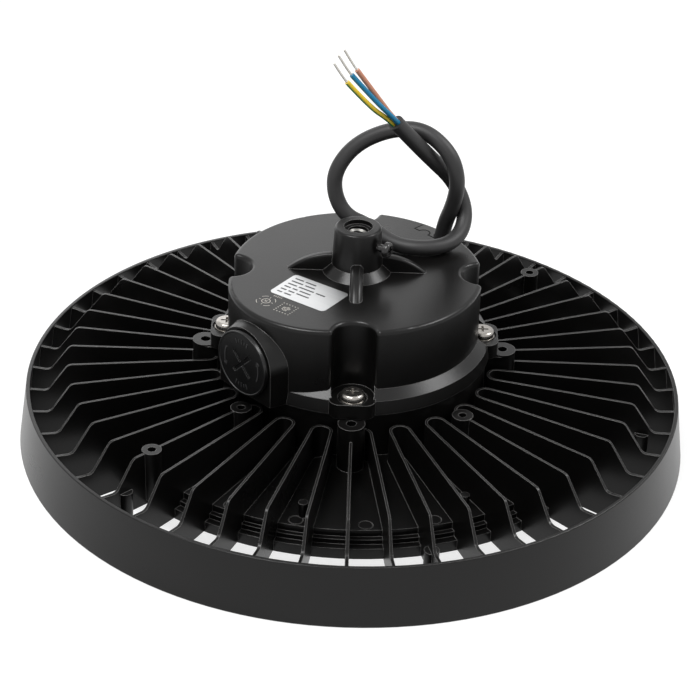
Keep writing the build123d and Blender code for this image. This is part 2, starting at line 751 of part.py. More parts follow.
def set_screw():
    """Screw that locks the pendant rod."""
    length = SET_SCREW_HEAD_RHO - SET_SCREW_TIP_RHO
    screw = machine_screw(SET_SCREW_R, length, SET_SCREW_HEAD_R, SET_SCREW_HEAD, SET_SCREW_CROSS)
    return set_screw_frame(SET_SCREW_HEAD_RHO) * screw


def housing_gasket():
    """Ring between hub and housing, with a tab round each screw."""
    plan = Circle(HUB_R)
    for angle in SCREW_ANGLES:
        plan += polar(SCREW_RING, angle) * Circle(MAIN_POST_R)
    plan -= Circle(HUB_INNER_R)
    for angle in SCREW_ANGLES:
        plan -= polar(SCREW_RING, angle) * Circle(SCREW_R + HOLE_CLEARANCE)
        plan -= polar(MAIN_POST_RING, angle) * Circle(MAIN_POST_R + HOLE_CLEARANCE)
    return lift(HUB_TOP) * extrude(plan, GASKET_THICKNESS)


def port_plug():
    """Screwed plug with a cross-shaped slot and a raised bead round its face."""
    cap = extrude(Circle(PLUG_R), -PLUG_THICKNESS)
    bead = extrude(Circle(PLUG_R) - Circle(PLUG_R - PLUG_BEAD_WIDTH), PLUG_BEAD)
    cap = cap + bead
    cap = fillet(cap.edges().group_by(Axis.Z)[-1], PLUG_BEAD_ROUND)
    shank_r = PORT_HOLE_R - THREAD_CLEARANCE
    shank = extrude(Circle(shank_r) - Circle(shank_r - PLUG_SHANK_WALL), -PLUG_SHANK_LENGTH)
    plug = cap + Pos(0, 0, -PLUG_THICKNESS) * shank
    slot = Rot(0, 0, PLUG_SLOT_TURN) * cross_recess(PLUG_SLOT, PLUG_SLOT_WIDTH, PLUG_SLOT_DEPTH)
    return port_frame(PLUG_FACE) * (plug - slot)


def port_seal():
    """Rubber ring under the plug."""
    return port_frame(PORT_BOSS_FACE) * extrude(Circle(PORT_SEAL_R) - Circle(PORT_HOLE_R), PORT_SEAL)


def rating_label():
    """Foil label, bare of any print."""
    plate = extrude(RectangleRounded(LABEL_LENGTH, LABEL_WIDTH, LABEL_ROUND), LABEL_THICKNESS)
    return Pos(LABEL_X, LABEL_Y, HOUSING_TOP) * Rot(0, 0, LABEL_TURN) * plate


def cable_exit(z):
    """Plane across the stretch of cable that goes up through the entry, with X towards the roof's edge."""
    low, high = Vector(*CABLE_ROUTE[0]), Vector(*CABLE_ROUTE[1])
    run = high - low
    outwards = (math.cos(math.radians(ENTRY_ANGLE)), math.sin(math.radians(ENTRY_ANGLE)), 0)
    return Plane(origin=low + run * ((z - low.Z) / run.Z), x_dir=outwards, z_dir=run)


def exit_cylinder(radius, bottom, top):
    """Cylinder along the cable's first stretch between two heights."""
    return tube([cable_exit(bottom).origin, cable_exit(top).origin], 2 * radius)


def cable_entry():
    """Moulded insert that fills the pocket and lets the cable through."""
    solid = housing_shell() & entry_pocket(ENTRY_GAP)
    return solid - exit_cylinder(CABLE_D / 2 + CABLE_CLEARANCE, CABLE_ROUTE[0][2], HOUSING_TOP + ENTRY_DEPTH)


def cable_tie():
    """Tie pulled tight round the cable under the entry, so that it can't be pulled out."""
    top = HOUSING_TOP - ENTRY_DEPTH - TIE_DROP
    plan = Circle(CABLE_D / 2 + TIE_THICKNESS) - Circle(CABLE_D / 2 + ENTRY_GAP / 2)
    head = Pos(-CABLE_D / 2 - TIE_THICKNESS - TIE_HEAD / 2 + ENTRY_GAP, 0) * Rectangle(TIE_HEAD, TIE_HEAD)
    return cable_exit(top) * extrude(plan + head, -TIE_WIDTH)


def bend_radii(points):
    """Radius of the arc at each corner of a route: as large as its two runs allow."""
    radii = []
    for before, corner, after in zip(points, points[1:], points[2:]):
        arrive = Vector(*corner) - Vector(*before)
        leave = Vector(*after) - Vector(*corner)
        half_turn = math.radians(arrive.get_angle(leave)) / 2
        radii.append(0.45 * min(arrive.length, leave.length) / math.tan(half_turn))
    return radii


def tube(points, diameter):
    """Round tube along straight runs joined by tangent arcs."""
    points = [tuple(p) for p in points]
    if len(points) == 2:
        path = Line(points[0], points[1])
    else:
        path = FilletPolyline(*points, radius=bend_radii(points))
    start = Plane(origin=path @ 0, z_dir=path % 0)
    return sweep(start * Circle(diameter / 2), path=path)


def route_length(points):
    """Length of the runs and arcs of a route."""
    if len(points) == 2:
        return Line(*points).length
    return FilletPolyline(*points, radius=bend_radii(points)).length


def report_route(name, points, diameter, solid):
    """Prints a route's arcs and compares the tube's volume with its section times its length."""
    print(name, "radii", [round(r, 1) for r in bend_radii(points)])
    length = route_length(points)
    section = math.pi * diameter ** 2 / 4
    print(name, "length", round(length, 1), "volume share", round(solid.volume / section / length, 4))


def core_start(plane, turn, along=0.0):
    """Place of a core on the jacket's end face, or further along by the given length."""
    angle = math.radians(turn)
    local = Vector(CORE_RING * math.cos(angle), CORE_RING * math.sin(angle), along)
    return tuple(plane.from_local_coords(local))


def free_end():
    """Plane of the jacket's free end, with Z pointing out of it."""
    last, before = Vector(*CABLE_ROUTE[-1]), Vector(*CABLE_ROUTE[-2])
    return Plane(origin=last, x_dir=(1, 0, 0), z_dir=last - before)


def free_core(route, turn):
    """Route of a core from the jacket's end to the end of its insulation."""
    plane = free_end()
    return [core_start(plane, turn), core_start(plane, turn, CORE_EXIT), *route[:-1]]


def strand_route(route):
    """Route of a core's bare strands, which leave the insulation straight."""
    middle, end, tip = (Vector(*point) for point in route)
    along = (end - middle).normalized() * STRAND_STRAIGHT
    return [tuple(end), tuple(end + along), tuple(tip)]


def strand_ends():
    """Bare tinned strands of the three cores."""
    routes = (EARTH_ROUTE, BLUE_ROUTE, BROWN_ROUTE)
    return Compound(children=[tube(strand_route(route), STRAND_D) for route in routes])


def inner_core(order):
    """Route of a core from the jacket's inner end to the input terminal."""
    first, second = Vector(*CABLE_ROUTE[0]), Vector(*CABLE_ROUTE[1])
    plane = Plane(origin=first, x_dir=(1, 0, 0), z_dir=first - second)
    turn = 90.0 + 120.0 * order
    start = core_start(plane, turn)
    below = core_start(plane, turn, LEAD_DROP)
    entry_x = INPUT_TERMINAL[0] + INPUT_TERMINAL[2] / 2
    lane = INPUT_TERMINAL[1] + (order - 1) * TERMINAL_PITCH
    level = BOARD_TOP + TERMINAL_LIFT
    return [
        start,
        below,
        (below[0] - LEAD_SWING, (below[1] + lane) / 2 + LEAD_SPREAD, level + LEAD_RISE),
        (entry_x + LEAD_APPROACH, lane, level),
        (entry_x, lane, level),
    ]


def supply_leads():
    """The three cores inside the housing."""
    return Compound(children=[tube(inner_core(order), CORE_D) for order in range(3)])


def board_part(size):
    """Block that stands on the driver board."""
    x, y, length, width, height = size
    return block(x, y, length, width, BOARD_TOP, BOARD_TOP + height)


def driver_board():
    """Circuit board of the driver."""
    plan = RectangleRounded(2 * BOARD_HALF, 2 * BOARD_HALF, BOARD_ROUND)
    plate = lift(BOARD_BOTTOM) * extrude(plan, BOARD_THICKNESS)
    for x, y in PILLARS:
        plate -= Pos(x, y, 0) * cylinder(BOARD_SCREW_R + HOLE_CLEARANCE, BOARD_BOTTOM, BOARD_TOP)
    return plate


def board_screws():
    """Screws that hold the driver board to its pillars."""
    screw = Rot(180, 0, 0) * machine_screw(
        BOARD_SCREW_R, BOARD_SCREW_LENGTH, BOARD_SCREW_HEAD_R, BOARD_SCREW_HEAD, BOARD_SCREW_HEAD_R
    )
    return Compound(children=[Pos(x, y, BOARD_BOTTOM) * screw for x, y in PILLARS])


def transformer():
    """Ferrite core round a winding, on its bobbin."""
    x, y, length, width, height = TRANSFORMER
    flange = board_part((x, y, length - BOBBIN_INSET, width, BOBBIN_FLANGE))
    top_flange = lift(height - BOBBIN_FLANGE) * flange
    winding_r = width / 2 - WINDING_INSET
    winding = Pos(x, y, 0) * cylinder(winding_r, BOARD_TOP + BOBBIN_FLANGE, BOARD_TOP + height - BOBBIN_FLANGE)
    core = board_part((x, y, length, width - FERRITE_INSET, height))
    return flange + top_flange + winding + core


def boost_choke():
    """Wound choke in its core."""
    x, y, length, width, height = BOOST_CHOKE
    core = board_part((x, y, length, width - CHOKE_INSET, height))
    winding = Pos(x, y, 0) * cylinder(width / 2, BOARD_TOP + CHOKE_FLANGE, BOARD_TOP + height - CHOKE_FLANGE)
    return core + winding


def filter_choke():
    """Two windings on a ring, standing on the board."""
    x, y, length, width, height = FILTER_CHOKE
    centre = Pos(x, y, BOARD_TOP + height / 2) * Rot(90, 0, 0)
    ring = centre * extrude(Circle(height / 2) - Circle(FILTER_HOLE_R), FILTER_RING_HALF, both=True)
    base = board_part((x, y, length, width, FILTER_BASE))
    return ring + base


def film_capacitor():
    """Boxed film capacitor."""
    body = board_part(FILM_CAPACITOR)
    return fillet(body.edges().filter_by(Axis.Z), FILM_ROUND)


def bulk_capacitors():
    """Two electrolytic capacitors with a rolled edge."""
    can = fillet(cylinder(CAPACITOR_R, 0, CAPACITOR_HEIGHT).edges().group_by(Axis.Z)[-1], CAPACITOR_ROUND)
    return Compound(children=[Pos(x, y, BOARD_TOP) * can for x, y in CAPACITOR_POINTS])


def input_terminal():
    """Three way terminal block with a hole for each core and each screw."""
    x, y, length, width, height = INPUT_TERMINAL
    body = board_part(INPUT_TERMINAL)
    for order in range(3):
        lane = y + (order - 1) * TERMINAL_PITCH
        body -= Pos(x - length / 4, lane, BOARD_TOP) * cylinder(TERMINAL_HOLE_R, height / 2, height)
    return body


def heat_spreader():
    """Aluminium angle that takes the transistors' heat to the roof."""
    middle = SPREADER_X + SPREADER_THICKNESS / 2
    wall = block(middle, 0, SPREADER_THICKNESS, SPREADER_LENGTH, BOARD_TOP, CEILING)
    foot_middle = SPREADER_X + SPREADER_FOOT / 2
    foot = block(foot_middle, 0, SPREADER_FOOT, SPREADER_LENGTH, CEILING - SPREADER_THICKNESS, CEILING)
    return wall + foot


def power_transistors():
    """Three transistors clamped to the spreader, each on three legs."""
    made = []
    for order in (-1, 0, 1):
        y = order * TRANSISTOR_PITCH
        x = SPREADER_X + SPREADER_THICKNESS + TRANSISTOR_DEPTH / 2
        bottom = BOARD_TOP + TRANSISTOR_LIFT
        body = block(x, y, TRANSISTOR_DEPTH, TRANSISTOR_WIDTH, bottom, bottom + TRANSISTOR_HEIGHT)
        for leg in (-1, 0, 1):
            body += block(x, y + leg * LEG_PITCH, LEG_THICKNESS, LEG_WIDTH, BOARD_TOP, bottom)
        made.append(body)
    return Compound(children=made)


def led_lead(side):
    """Route of one wire from the driver board to the plug on the hub's floor."""
    return [(x, side * y, z) for x, y, z in LED_LEAD_ROUTE]


def led_leads():
    """The two wires to the LED board."""
    return Compound(children=[tube(led_lead(side), LED_LEAD_D) for side in (-1, 1)])


def lead_plug():
    """Plug that reaches through the disc and down to the LED board."""
    stem = cylinder(LEAD_HOLE_R - HOLE_CLEARANCE / 2, LED_BOARD_TOP, DISC_TOP)
    return stem + block(0, 0, LEAD_PLUG_LENGTH, LEAD_PLUG_WIDTH, DISC_TOP, DISC_TOP + LEAD_PLUG_HEIGHT)


def thermal_sheet():
    """Heat conducting sheet between LED board and disc."""
    sheet = cylinder(LED_BOARD_R, LED_BOARD_TOP, DISC_UNDER)
    lead_hole = cylinder(LEAD_HOLE_R, LED_BOARD_TOP, DISC_UNDER)
    return sheet.cut(lead_hole, *led_screw_holes(HOLE_CLEARANCE, DISC_UNDER))


def led_board():
    """Aluminium board that carries the LEDs."""
    board = cylinder(LED_BOARD_R, LED_BOARD_UNDER, LED_BOARD_TOP)
    return board.cut(*led_screw_holes(HOLE_CLEARANCE, LED_BOARD_TOP))


def led_chips():
    """The LEDs, all in one node."""
    chip = lift(LED_BOARD_UNDER - LED_HEIGHT) * extrude(Rectangle(LED_SIDE, LED_SIDE), LED_HEIGHT)
    return Compound(children=[polar(ring, angle) * chip for ring, angle in led_places()])


def led_board_screws():
    """Screws of the LED board, driven up into the disc."""
    length = LED_SCREW_LENGTH - THREAD_CLEARANCE
    screw = Rot(180, 0, 0) * machine_screw(
        LED_SCREW_R, length, LED_SCREW_HEAD_R, LED_SCREW_HEAD, LED_SCREW_HEAD_R
    )
    places = [polar(ring, angle, LED_BOARD_UNDER) for ring, angle in led_screw_places()]
    return Compound(children=[place * screw for place in places])


def lens_gasket():
    """Ring that seals the lens against the flange."""
    ring = lift(LENS_TOP) * extrude(Circle(LENS_R) - Circle(POCKET_R), LENS_GASKET)
    return ring.cut(*lens_screw_holes(HOLE_CLEARANCE, FLANGE_BOTTOM))


def lens_plate():
    """Clear moulded plate with a dome under each LED."""
    plate = cylinder(LENS_R, LENS_UNDER, LENS_TOP)
    ball_r = (DOME_R ** 2 + DOME_HEIGHT ** 2) / (2 * DOME_HEIGHT)
    arc_middle = DOME_R / 2
    arc_drop = math.sqrt(ball_r ** 2 - arc_middle ** 2) - (ball_r - DOME_HEIGHT)
    side = make_face([
        Line((0, -DOME_HEIGHT), (0, 0)),
        Line((0, 0), (DOME_R, 0)),
        ThreePointArc((DOME_R, 0), (arc_middle, -arc_drop), (0, -DOME_HEIGHT)),
    ])
    dome = lift(LENS_UNDER) * revolve(Plane.XZ * side, Axis.Z)
    plate = plate.fuse(*[polar(ring, angle) * dome for ring, angle in led_places()])
    return plate.cut(*lens_screw_holes(HOLE_CLEARANCE, LENS_TOP))


def lens_screws():
    """Screws that hold the lens to the flange."""
    length = LENS_SCREW_LENGTH - THREAD_CLEARANCE
    screw = Rot(180, 0, 0) * machine_screw(
        LENS_SCREW_R, length, LENS_SCREW_HEAD_R, LENS_SCREW_HEAD, LENS_SCREW_HEAD_R
    )
    return Compound(children=[polar(LENS_SCREW_RING, a, LENS_UNDER) * screw for a in lens_screw_angles()])


def main():
    """Builds every piece and writes it to its own file."""
    screws = [polar(SCREW_RING, a, SEAT_Z + WASHER) * housing_screw() for a in SCREW_ANGLES]
    washers = [polar(SCREW_RING, a, SEAT_Z) * washer() for a in SCREW_ANGLES]
    brown = free_core(BROWN_ROUTE, CORE_TURNS["brown"])
    blue = free_core(BLUE_ROUTE, CORE_TURNS["blue"])
    earth = free_core(EARTH_ROUTE, CORE_TURNS["earth"])
    pieces = {
        "heat_sink": heat_sink(),
        "driver_housing": driver_housing(),
        "housing_gasket": housing_gasket(),
        "housing_screws": Compound(children=screws),
        "screw_washers": Compound(children=washers),
        "set_screw": set_screw(),
        "port_plug": port_plug(),
        "port_seal": port_seal(),
        "rating_label": rating_label(),
        "cable_entry": cable_entry(),
        "cable_tie": cable_tie(),
        "supply_cable": tube(CABLE_ROUTE, CABLE_D),
        "core_brown": tube(brown, CORE_D),
        "core_blue": tube(blue, CORE_D),
        "core_earth": tube(earth, CORE_D),
        "strand_ends": strand_ends(),
        "supply_leads": supply_leads(),
        "driver_board": driver_board(),
        "board_screws": board_screws(),
        "input_terminal": input_terminal(),
        "filter_choke": filter_choke(),
        "film_capacitor": film_capacitor(),
        "boost_choke": boost_choke(),
        "transformer": transformer(),
        "bulk_capacitors": bulk_capacitors(),
        "power_transistors": power_transistors(),
        "heat_spreader": heat_spreader(),
        "led_leads": led_leads(),
        "lead_plug": lead_plug(),
        "thermal_sheet": thermal_sheet(),
        "led_board": led_board(),
        "led_chips": led_chips(),
        "led_board_screws": led_board_screws(),
        "lens_gasket": lens_gasket(),
        "lens_plate": lens_plate(),
        "lens_screws": lens_screws(),
    }
    report_route("supply_cable", CABLE_ROUTE, CABLE_D, pieces["supply_cable"])
    for name, route in (("core_brown", brown), ("core_blue", blue), ("core_earth", earth)):
        report_route(name, route, CORE_D, pieces[name])
    print("supply_leads radii", [[round(r, 1) for r in bend_radii(inner_core(order))] for order in range(3)])
    print("led_leads radii", [round(r, 1) for r in bend_radii(led_lead(1))])
    os.makedirs("parts", exist_ok=True)
    for name, piece in pieces.items():
        export_step(piece, f"parts/{name}.step")


main()
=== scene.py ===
"""High bay light: its camera, supply cable, finishes, small fittings and studio."""

import math

import bmesh
import bpy
from bpy.props import FloatProperty, FloatVectorProperty, IntProperty, PointerProperty
from mathutils import Matrix, Vector


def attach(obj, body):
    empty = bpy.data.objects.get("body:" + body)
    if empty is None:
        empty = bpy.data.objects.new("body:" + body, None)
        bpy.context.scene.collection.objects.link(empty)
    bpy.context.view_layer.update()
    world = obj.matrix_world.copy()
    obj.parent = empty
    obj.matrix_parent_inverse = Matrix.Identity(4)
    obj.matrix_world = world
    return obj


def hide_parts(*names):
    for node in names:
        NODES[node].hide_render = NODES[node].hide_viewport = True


bl_info = {
    "name": "High Bay Light",
    "version": (1, 0, 0),
    "blender": (4, 5, 0),
    "location": "View3D > Sidebar > High Bay",
    "description": "Dresses a round high bay light with its cable, finishes and studio",
    "category": "Add Mesh",
}

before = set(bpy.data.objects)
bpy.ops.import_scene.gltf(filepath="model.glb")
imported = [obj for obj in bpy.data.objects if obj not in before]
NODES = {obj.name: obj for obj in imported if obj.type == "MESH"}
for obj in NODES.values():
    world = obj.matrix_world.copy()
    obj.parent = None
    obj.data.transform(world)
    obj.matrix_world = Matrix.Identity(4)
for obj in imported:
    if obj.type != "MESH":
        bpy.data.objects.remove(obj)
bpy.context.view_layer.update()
BODY = "root"
MM = 0.001
MERGE_DISTANCE = 0.002 * MM

# Camera
CAMERA_PLACE = (-0.00201, -1.0299, 0.6580)
CAMERA_TILT = math.radians(30.66)
CAMERA_ROLL = math.radians(2.03)
CAMERA_LENS = 118.18
CAMERA_SENSOR = 36.0
CAMERA_REACH = 50.0

# Supply cable, from inside the housing through the roof to the jacket's free end, in metres
CABLE_ROUTE = [
    (0.0424, 0.0384, 0.0800),
    (0.0441, 0.0401, 0.1000),
    (0.0493, 0.0340, 0.1180),
    (0.0506, 0.0312, 0.1332),
    (0.0456, 0.0345, 0.1468),
    (0.0316, 0.0420, 0.1560),
    (0.0140, 0.0450, 0.1535),
    (-0.0030, 0.0450, 0.1445),
    (-0.0130, 0.0420, 0.1310),
    (-0.0132, 0.0398, 0.1181),
    (-0.0068, 0.0361, 0.1072),
    (0.0057, 0.0344, 0.1028),
    (0.0187, 0.0195, 0.0999),
    (0.0340, 0.0164, 0.0999),
    (0.0472, 0.0216, 0.1000),
    (0.0546, 0.0310, 0.1040),
    (0.0554, 0.0396, 0.1135),
    (0.0482, 0.0440, 0.1270),
    (0.0360, 0.0375, 0.1415),
    (0.0258, 0.0305, 0.1550),
    (0.0170, 0.0245, 0.1670),
]

# Each core from the jacket's end to the end of its insulation
CORE_ROUTES = {
    "brown": [
        (0.0170, 0.02593, 0.16772),
        (0.01426, 0.02406, 0.17146),
        (0.0090, 0.0212, 0.1798),
        (-0.0034, 0.0184, 0.1976),
    ],
    "blue": [
        (0.01816, 0.02344, 0.16732),
        (0.01542, 0.02157, 0.17106),
        (0.0064, 0.0186, 0.1808),
        (-0.0060, 0.0176, 0.1952),
    ],
    "earth": [
        (0.01584, 0.02412, 0.16596),
        (0.0131, 0.02225, 0.1697),
        (0.0038, 0.0180, 0.1778),
        (-0.0081, 0.0148, 0.1924),
    ],
}

# Bare strands, on from the end of each core's insulation
STRAND_ROUTES = {
    "brown": [(-0.0052, 0.01834, 0.2000), (-0.0099, 0.0162, 0.2089)],
    "blue": [(-0.00784, 0.0171, 0.19752), (-0.0127, 0.0152, 0.2063)],
    "earth": [(-0.00997, 0.0143, 0.19469), (-0.0147, 0.0122, 0.2032)],
}
STRAND_TWIST_PITCH = 9 * MM

# Stripe of the earth core, as shares of a turn round it
STRIPE_SHARE = 0.72
STRIPE_TURN = 0.14

# Label on the driver housing's roof, with the width in mm of each bar in its lines
ROOF_Z = 95.5 * MM
LABEL_PLACE = (-23.4 * MM, -26.6 * MM)
LABEL_TURN = math.radians(-34.2)
LABEL_THICKNESS = 0.15 * MM
LABEL_LINES = [
    (5.2, 6.4), (7.0, 6.0), (5.4, 9.2, 5.6), (3.8, 3.0, 6.8), (3.4, 3.6, 7.6), (3.0, 4.2),
]
LABEL_LINE_GAP = 3.1 * MM
LABEL_LINE_START = -14.2 * MM
LABEL_BAR_GAP = 1.3 * MM
LABEL_BAR_WIDTH = 1.05 * MM
LABEL_BAR_HEIGHT = 0.02 * MM

# Engraved marks on the roof, turned as the label is
ENGRAVED_HEIGHT = 0.03 * MM
DIAL_PLACE = (-44.6 * MM, -36.1 * MM)
DIAL_RING = (2.0 * MM, 2.35 * MM)
DIAL_ARC = (4.7 * MM, 5.0 * MM)
DIAL_ARC_START = 0.35
DIAL_ARC_SWEEP = 0.7
DIAL_TICK = (1.1 * MM, 0.3 * MM)
DIAL_TICK_R = 3.7 * MM
DIAL_CROSS = (1.2 * MM, 0.3 * MM)
DIAL_CROSS_R = 0.6 * MM
TICK_ROW_PLACE = (-38.8 * MM, -31.7 * MM)
TICK_ROW_PITCH = 1.1 * MM
TICK_ROW_TICK = (0.35 * MM, 1.3 * MM)
DOTS_PLACE = (-34.3 * MM, -43.4 * MM)
DOTS_PITCH = 0.85 * MM
DOTS_COUNT = 11
DOTS_SHARE = 0.7

# Sensor port's plug, with two turn arrows and two rows of ticks raised on its face
PORT_ANGLE = math.radians(225.0)
PORT_Z = 70.3 * MM
PLUG_FACE = 78.4 * MM
ARROW_INNER_R = 11.9 * MM
ARROW_OUTER_R = 12.7 * MM
ARROW_SWEEP = math.radians(50)
BARB_ANGLE = math.radians(35)
BARB_SIZE = (0.6 * MM, 2.2 * MM)
BARB_BACK = 0.9 * MM
TICK_ANGLE = math.radians(9)
TICK_LENGTHS = (2.6 * MM, 1.6 * MM)
TICK_WIDTH = 0.55 * MM

# Joint round the cable entry, and a thin black strip along it that paints the shade of the
# joint's gap
ENTRY_ANGLE = math.radians(45.0)
ENTRY_CHORD = 54.6 * MM
ENTRY_HALF_WIDTH = 12.3 * MM
ENTRY_EDGE = 61.4 * MM
NOTCH_R = 3.25 * MM
NOTCH_ACROSS = 5.65 * MM
SHADE_STRIP_WIDTH = 0.7 * MM
SHADE_STRIP_HEIGHT = 0.05 * MM

# Thread in the pendant boss, with the shares of its pitch where a crest starts and ends
THREAD_BOTTOM = 98.2 * MM
THREAD_R = 5.19 * MM
THREAD_DEPTH = 0.95 * MM
THREAD_PITCH = 1.75 * MM
THREAD_CREST = (0.45, 0.55)
THREAD_TURNS = 10
THREAD_STEPS_PER_TURN = 40

# LEDs, as ring radius in mm and count
LED_RINGS = [(28.0, 8), (48.0, 14), (68.0, 20), (88.0, 26), (108.0, 32)]
LED_FACE_Z = 19.4 * MM
PHOSPHOR_R = 1.15 * MM
PHOSPHOR_THICKNESS = 0.1 * MM

# Plain finishes by node: name, colour, roughness, grain size and depth in mm, share of tone
LIGHT_ENGINE_FINISHES = {
    "lens_gasket": ("grey_silicone", (0.42, 0.42, 0.40), 0.55, 0.6, 0.02, 0.25),
    "housing_gasket": ("gasket_rubber", (0.008, 0.008, 0.008), 0.7, 0.5, 0.02, 0.25),
    "thermal_sheet": ("heat_sheet", (0.40, 0.43, 0.46), 0.7, 0.5, 0.02, 0.25),
    "led_board": ("white_solder_mask", (0.80, 0.80, 0.78), 0.35, 0.5, 0.01, 0.03),
    "led_chips": ("led_package", (0.85, 0.84, 0.80), 0.4, 0.3, 0.005, 0.04),
}
DRIVER_FINISHES = {
    "supply_leads": ("lead_insulation", (0.30, 0.30, 0.31), 0.45, 0.5, 0.01, 0.25),
    "led_leads": ("led_lead_insulation", (0.45, 0.05, 0.04), 0.45, 0.5, 0.01, 0.25),
    "driver_board": ("green_solder_mask", (0.02, 0.16, 0.06), 0.35, 0.5, 0.01, 0.25),
    "input_terminal": ("green_moulding", (0.04, 0.26, 0.10), 0.4, 0.6, 0.01, 0.25),
    "film_capacitor": ("orange_box", (0.70, 0.28, 0.03), 0.35, 0.6, 0.01, 0.25),
    "power_transistors": ("transistor_moulding", (0.02, 0.02, 0.02), 0.35, 0.5, 0.01, 0.25),
}

# Two-coloured finishes by node: name, lower and upper colour, and how high above the driver
# board and over what half height they change, in mm
DRIVER_BOARD_Z = 53.6 * MM
FERRITE = (0.05, 0.05, 0.052)
COPPER = (0.55, 0.22, 0.08)
TWO_TONE_FINISHES = {
    "transformer": ("transformer_tape", COPPER, FERRITE, 28, 1),
    "boost_choke": ("boost_winding", COPPER, FERRITE, 20, 1),
    "filter_choke": ("filter_winding", FERRITE, COPPER, 3, 1),
    "bulk_capacitors": ("capacitor_sleeve", (0.02, 0.03, 0.06), (0.6, 0.6, 0.6), 31, 0.2),
}

# Shares and limits that the finishes have in common
FINE_GRAIN_RATIO = 3.1
GRAINED_GLOSS_CHANGE = 0.08
BRUSHED_GLOSS_CHANGE = 0.2
BRUSHED_SHADE = 0.86
# Between these dot products the edges turn paler: a painted edge highlight, with faint wear
FULL_WEAR_AND_HIGHLIGHT_DOT = 0.86
NO_WEAR_AND_HIGHLIGHT_DOT = 0.985

# Studio, as each lamp's place and size, and what the floor shows to the camera
TOP_LAMP = (-0.38, -0.38, 1.15), (0.55, 0.42)
BACK_LAMP = (-0.5, 1.3, 0.62), (1.2, 0.6)
RIGHT_LAMP = (0.95, 0.05, 1.1), (0.56, 0.46)
LAMP_AIM = (0, 0, 0.06)
FLOOR_HALF_SIZE = 8
FLOOR_DROP = 0.0002
FLOOR_DARK = (0.36, 0.36, 0.36)
FLOOR_LIGHT = (0.39, 0.39, 0.39)
GLOW_NEAR, GLOW_FAR = 0.78, 1.0
GLOW_START, GLOW_END = 0.5, 2.5


class HighBaySizes(bpy.types.PropertyGroup):
    """Sizes of the cable and of the small fittings."""

    cable_diameter: FloatProperty(
        name="Cable diameter", description="Outside diameter of the jacket",
        default=8.2 * MM, min=3 * MM, subtype="DISTANCE", unit="LENGTH",
    )
    core_diameter: FloatProperty(
        name="Core diameter", description="Outside diameter of each core's insulation",
        default=2.6 * MM, min=1 * MM, subtype="DISTANCE", unit="LENGTH",
    )
    wire_diameter: FloatProperty(
        name="Wire diameter", description="Diameter of one wire of the bare strands",
        default=0.42 * MM, min=0.1 * MM, subtype="DISTANCE", unit="LENGTH",
    )
    wire_count: IntProperty(
        name="Outer wires", description="Wires twisted round the middle one", default=6, min=3,
    )
    mark_height: FloatProperty(
        name="Mark height", description="How far the plug's raised marks stand out",
        default=0.3 * MM, min=0.05 * MM, subtype="DISTANCE", unit="LENGTH",
    )


class HighBayFinish(bpy.types.PropertyGroup):
    """Colours of the finishes."""

    coat: FloatVectorProperty(
        name="Powder coat", description="Black coat of the castings",
        default=(0.0036, 0.0034, 0.0033), subtype="COLOR", size=3, min=0, max=1,
    )
    # Paler colour on the castings' sharp edges: a painted edge highlight, with faint bare-metal
    # wear
    edge_wear_and_highlight: FloatVectorProperty(
        name="Worn edges",
        description="Bare metal that shows faintly on the castings' sharp edges",
        default=(0.27, 0.265, 0.26), subtype="COLOR", size=3, min=0, max=1,
    )
    jacket: FloatVectorProperty(
        name="Cable jacket", description="Rubber jacket of the supply cable",
        default=(0.018, 0.0176, 0.018), subtype="COLOR", size=3, min=0, max=1,
    )
    brown: FloatVectorProperty(
        name="Brown core", description="Insulation of the brown core",
        default=(0.60, 0.27, 0.17), subtype="COLOR", size=3, min=0, max=1,
    )
    blue: FloatVectorProperty(
        name="Blue core", description="Insulation of the blue core",
        default=(0.0, 0.19, 0.37), subtype="COLOR", size=3, min=0, max=1,
    )
    yellow: FloatVectorProperty(
        name="Yellow stripe", description="Stripe of the earth core",
        default=(0.83, 0.60, 0.03), subtype="COLOR", size=3, min=0, max=1,
    )
    green: FloatVectorProperty(
        name="Green", description="Ground colour of the earth core",
        default=(0.0, 0.27, 0.08), subtype="COLOR", size=3, min=0, max=1,
    )
    nickel: FloatVectorProperty(
        name="Screws", description="Nickel plate of the screws",
        default=(0.38, 0.36, 0.335), subtype="COLOR", size=3, min=0, max=1,
    )
    foil: FloatVectorProperty(
        name="Label foil", description="Silver foil of the label",
        default=(0.66, 0.665, 0.67), subtype="COLOR", size=3, min=0, max=1,
    )


class HighBayStudio(bpy.types.PropertyGroup):
    """Levels of the lamps."""

    top_power: FloatProperty(
        name="Top lamp", description="Bright soft lamp above the light",
        default=11.0, min=0, unit="POWER",
    )
    back_power: FloatProperty(
        name="Back lamp", description="Large soft lamp above and behind the light",
        default=3.5, min=0, unit="POWER",
    )
    right_power: FloatProperty(
        name="Right lamp", description="Soft lamp above on the right",
        default=10.0, min=0, unit="POWER",
    )
    ambient: FloatProperty(
        name="Ambient", description="Level of the light from all round", default=0.1, min=0,
    )


def sizes():
    return bpy.context.scene.high_bay_sizes


def finish_colors():
    return bpy.context.scene.high_bay_finish


def studio():
    return bpy.context.scene.high_bay_studio


# Places

def moved(x=0.0, y=0.0, z=0.0):
    """Matrix of a move."""
    return Matrix.Translation((x, y, z))


def turned(angle):
    """Matrix of a turn about the vertical axis."""
    return Matrix.Rotation(angle, 4, "Z")


def roof_place(place, height=0.0):
    """Matrix of a place on the roof, turned as the label is."""
    return moved(*place, ROOF_Z + height) @ turned(LABEL_TURN)


# Objects

def add_object(name, data, material):
    """Links new data as a piece that rides on the light."""
    piece = bpy.data.objects.new(name, data)
    bpy.context.scene.collection.objects.link(piece)
    data.materials.append(material)
    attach(piece, BODY)
    return piece


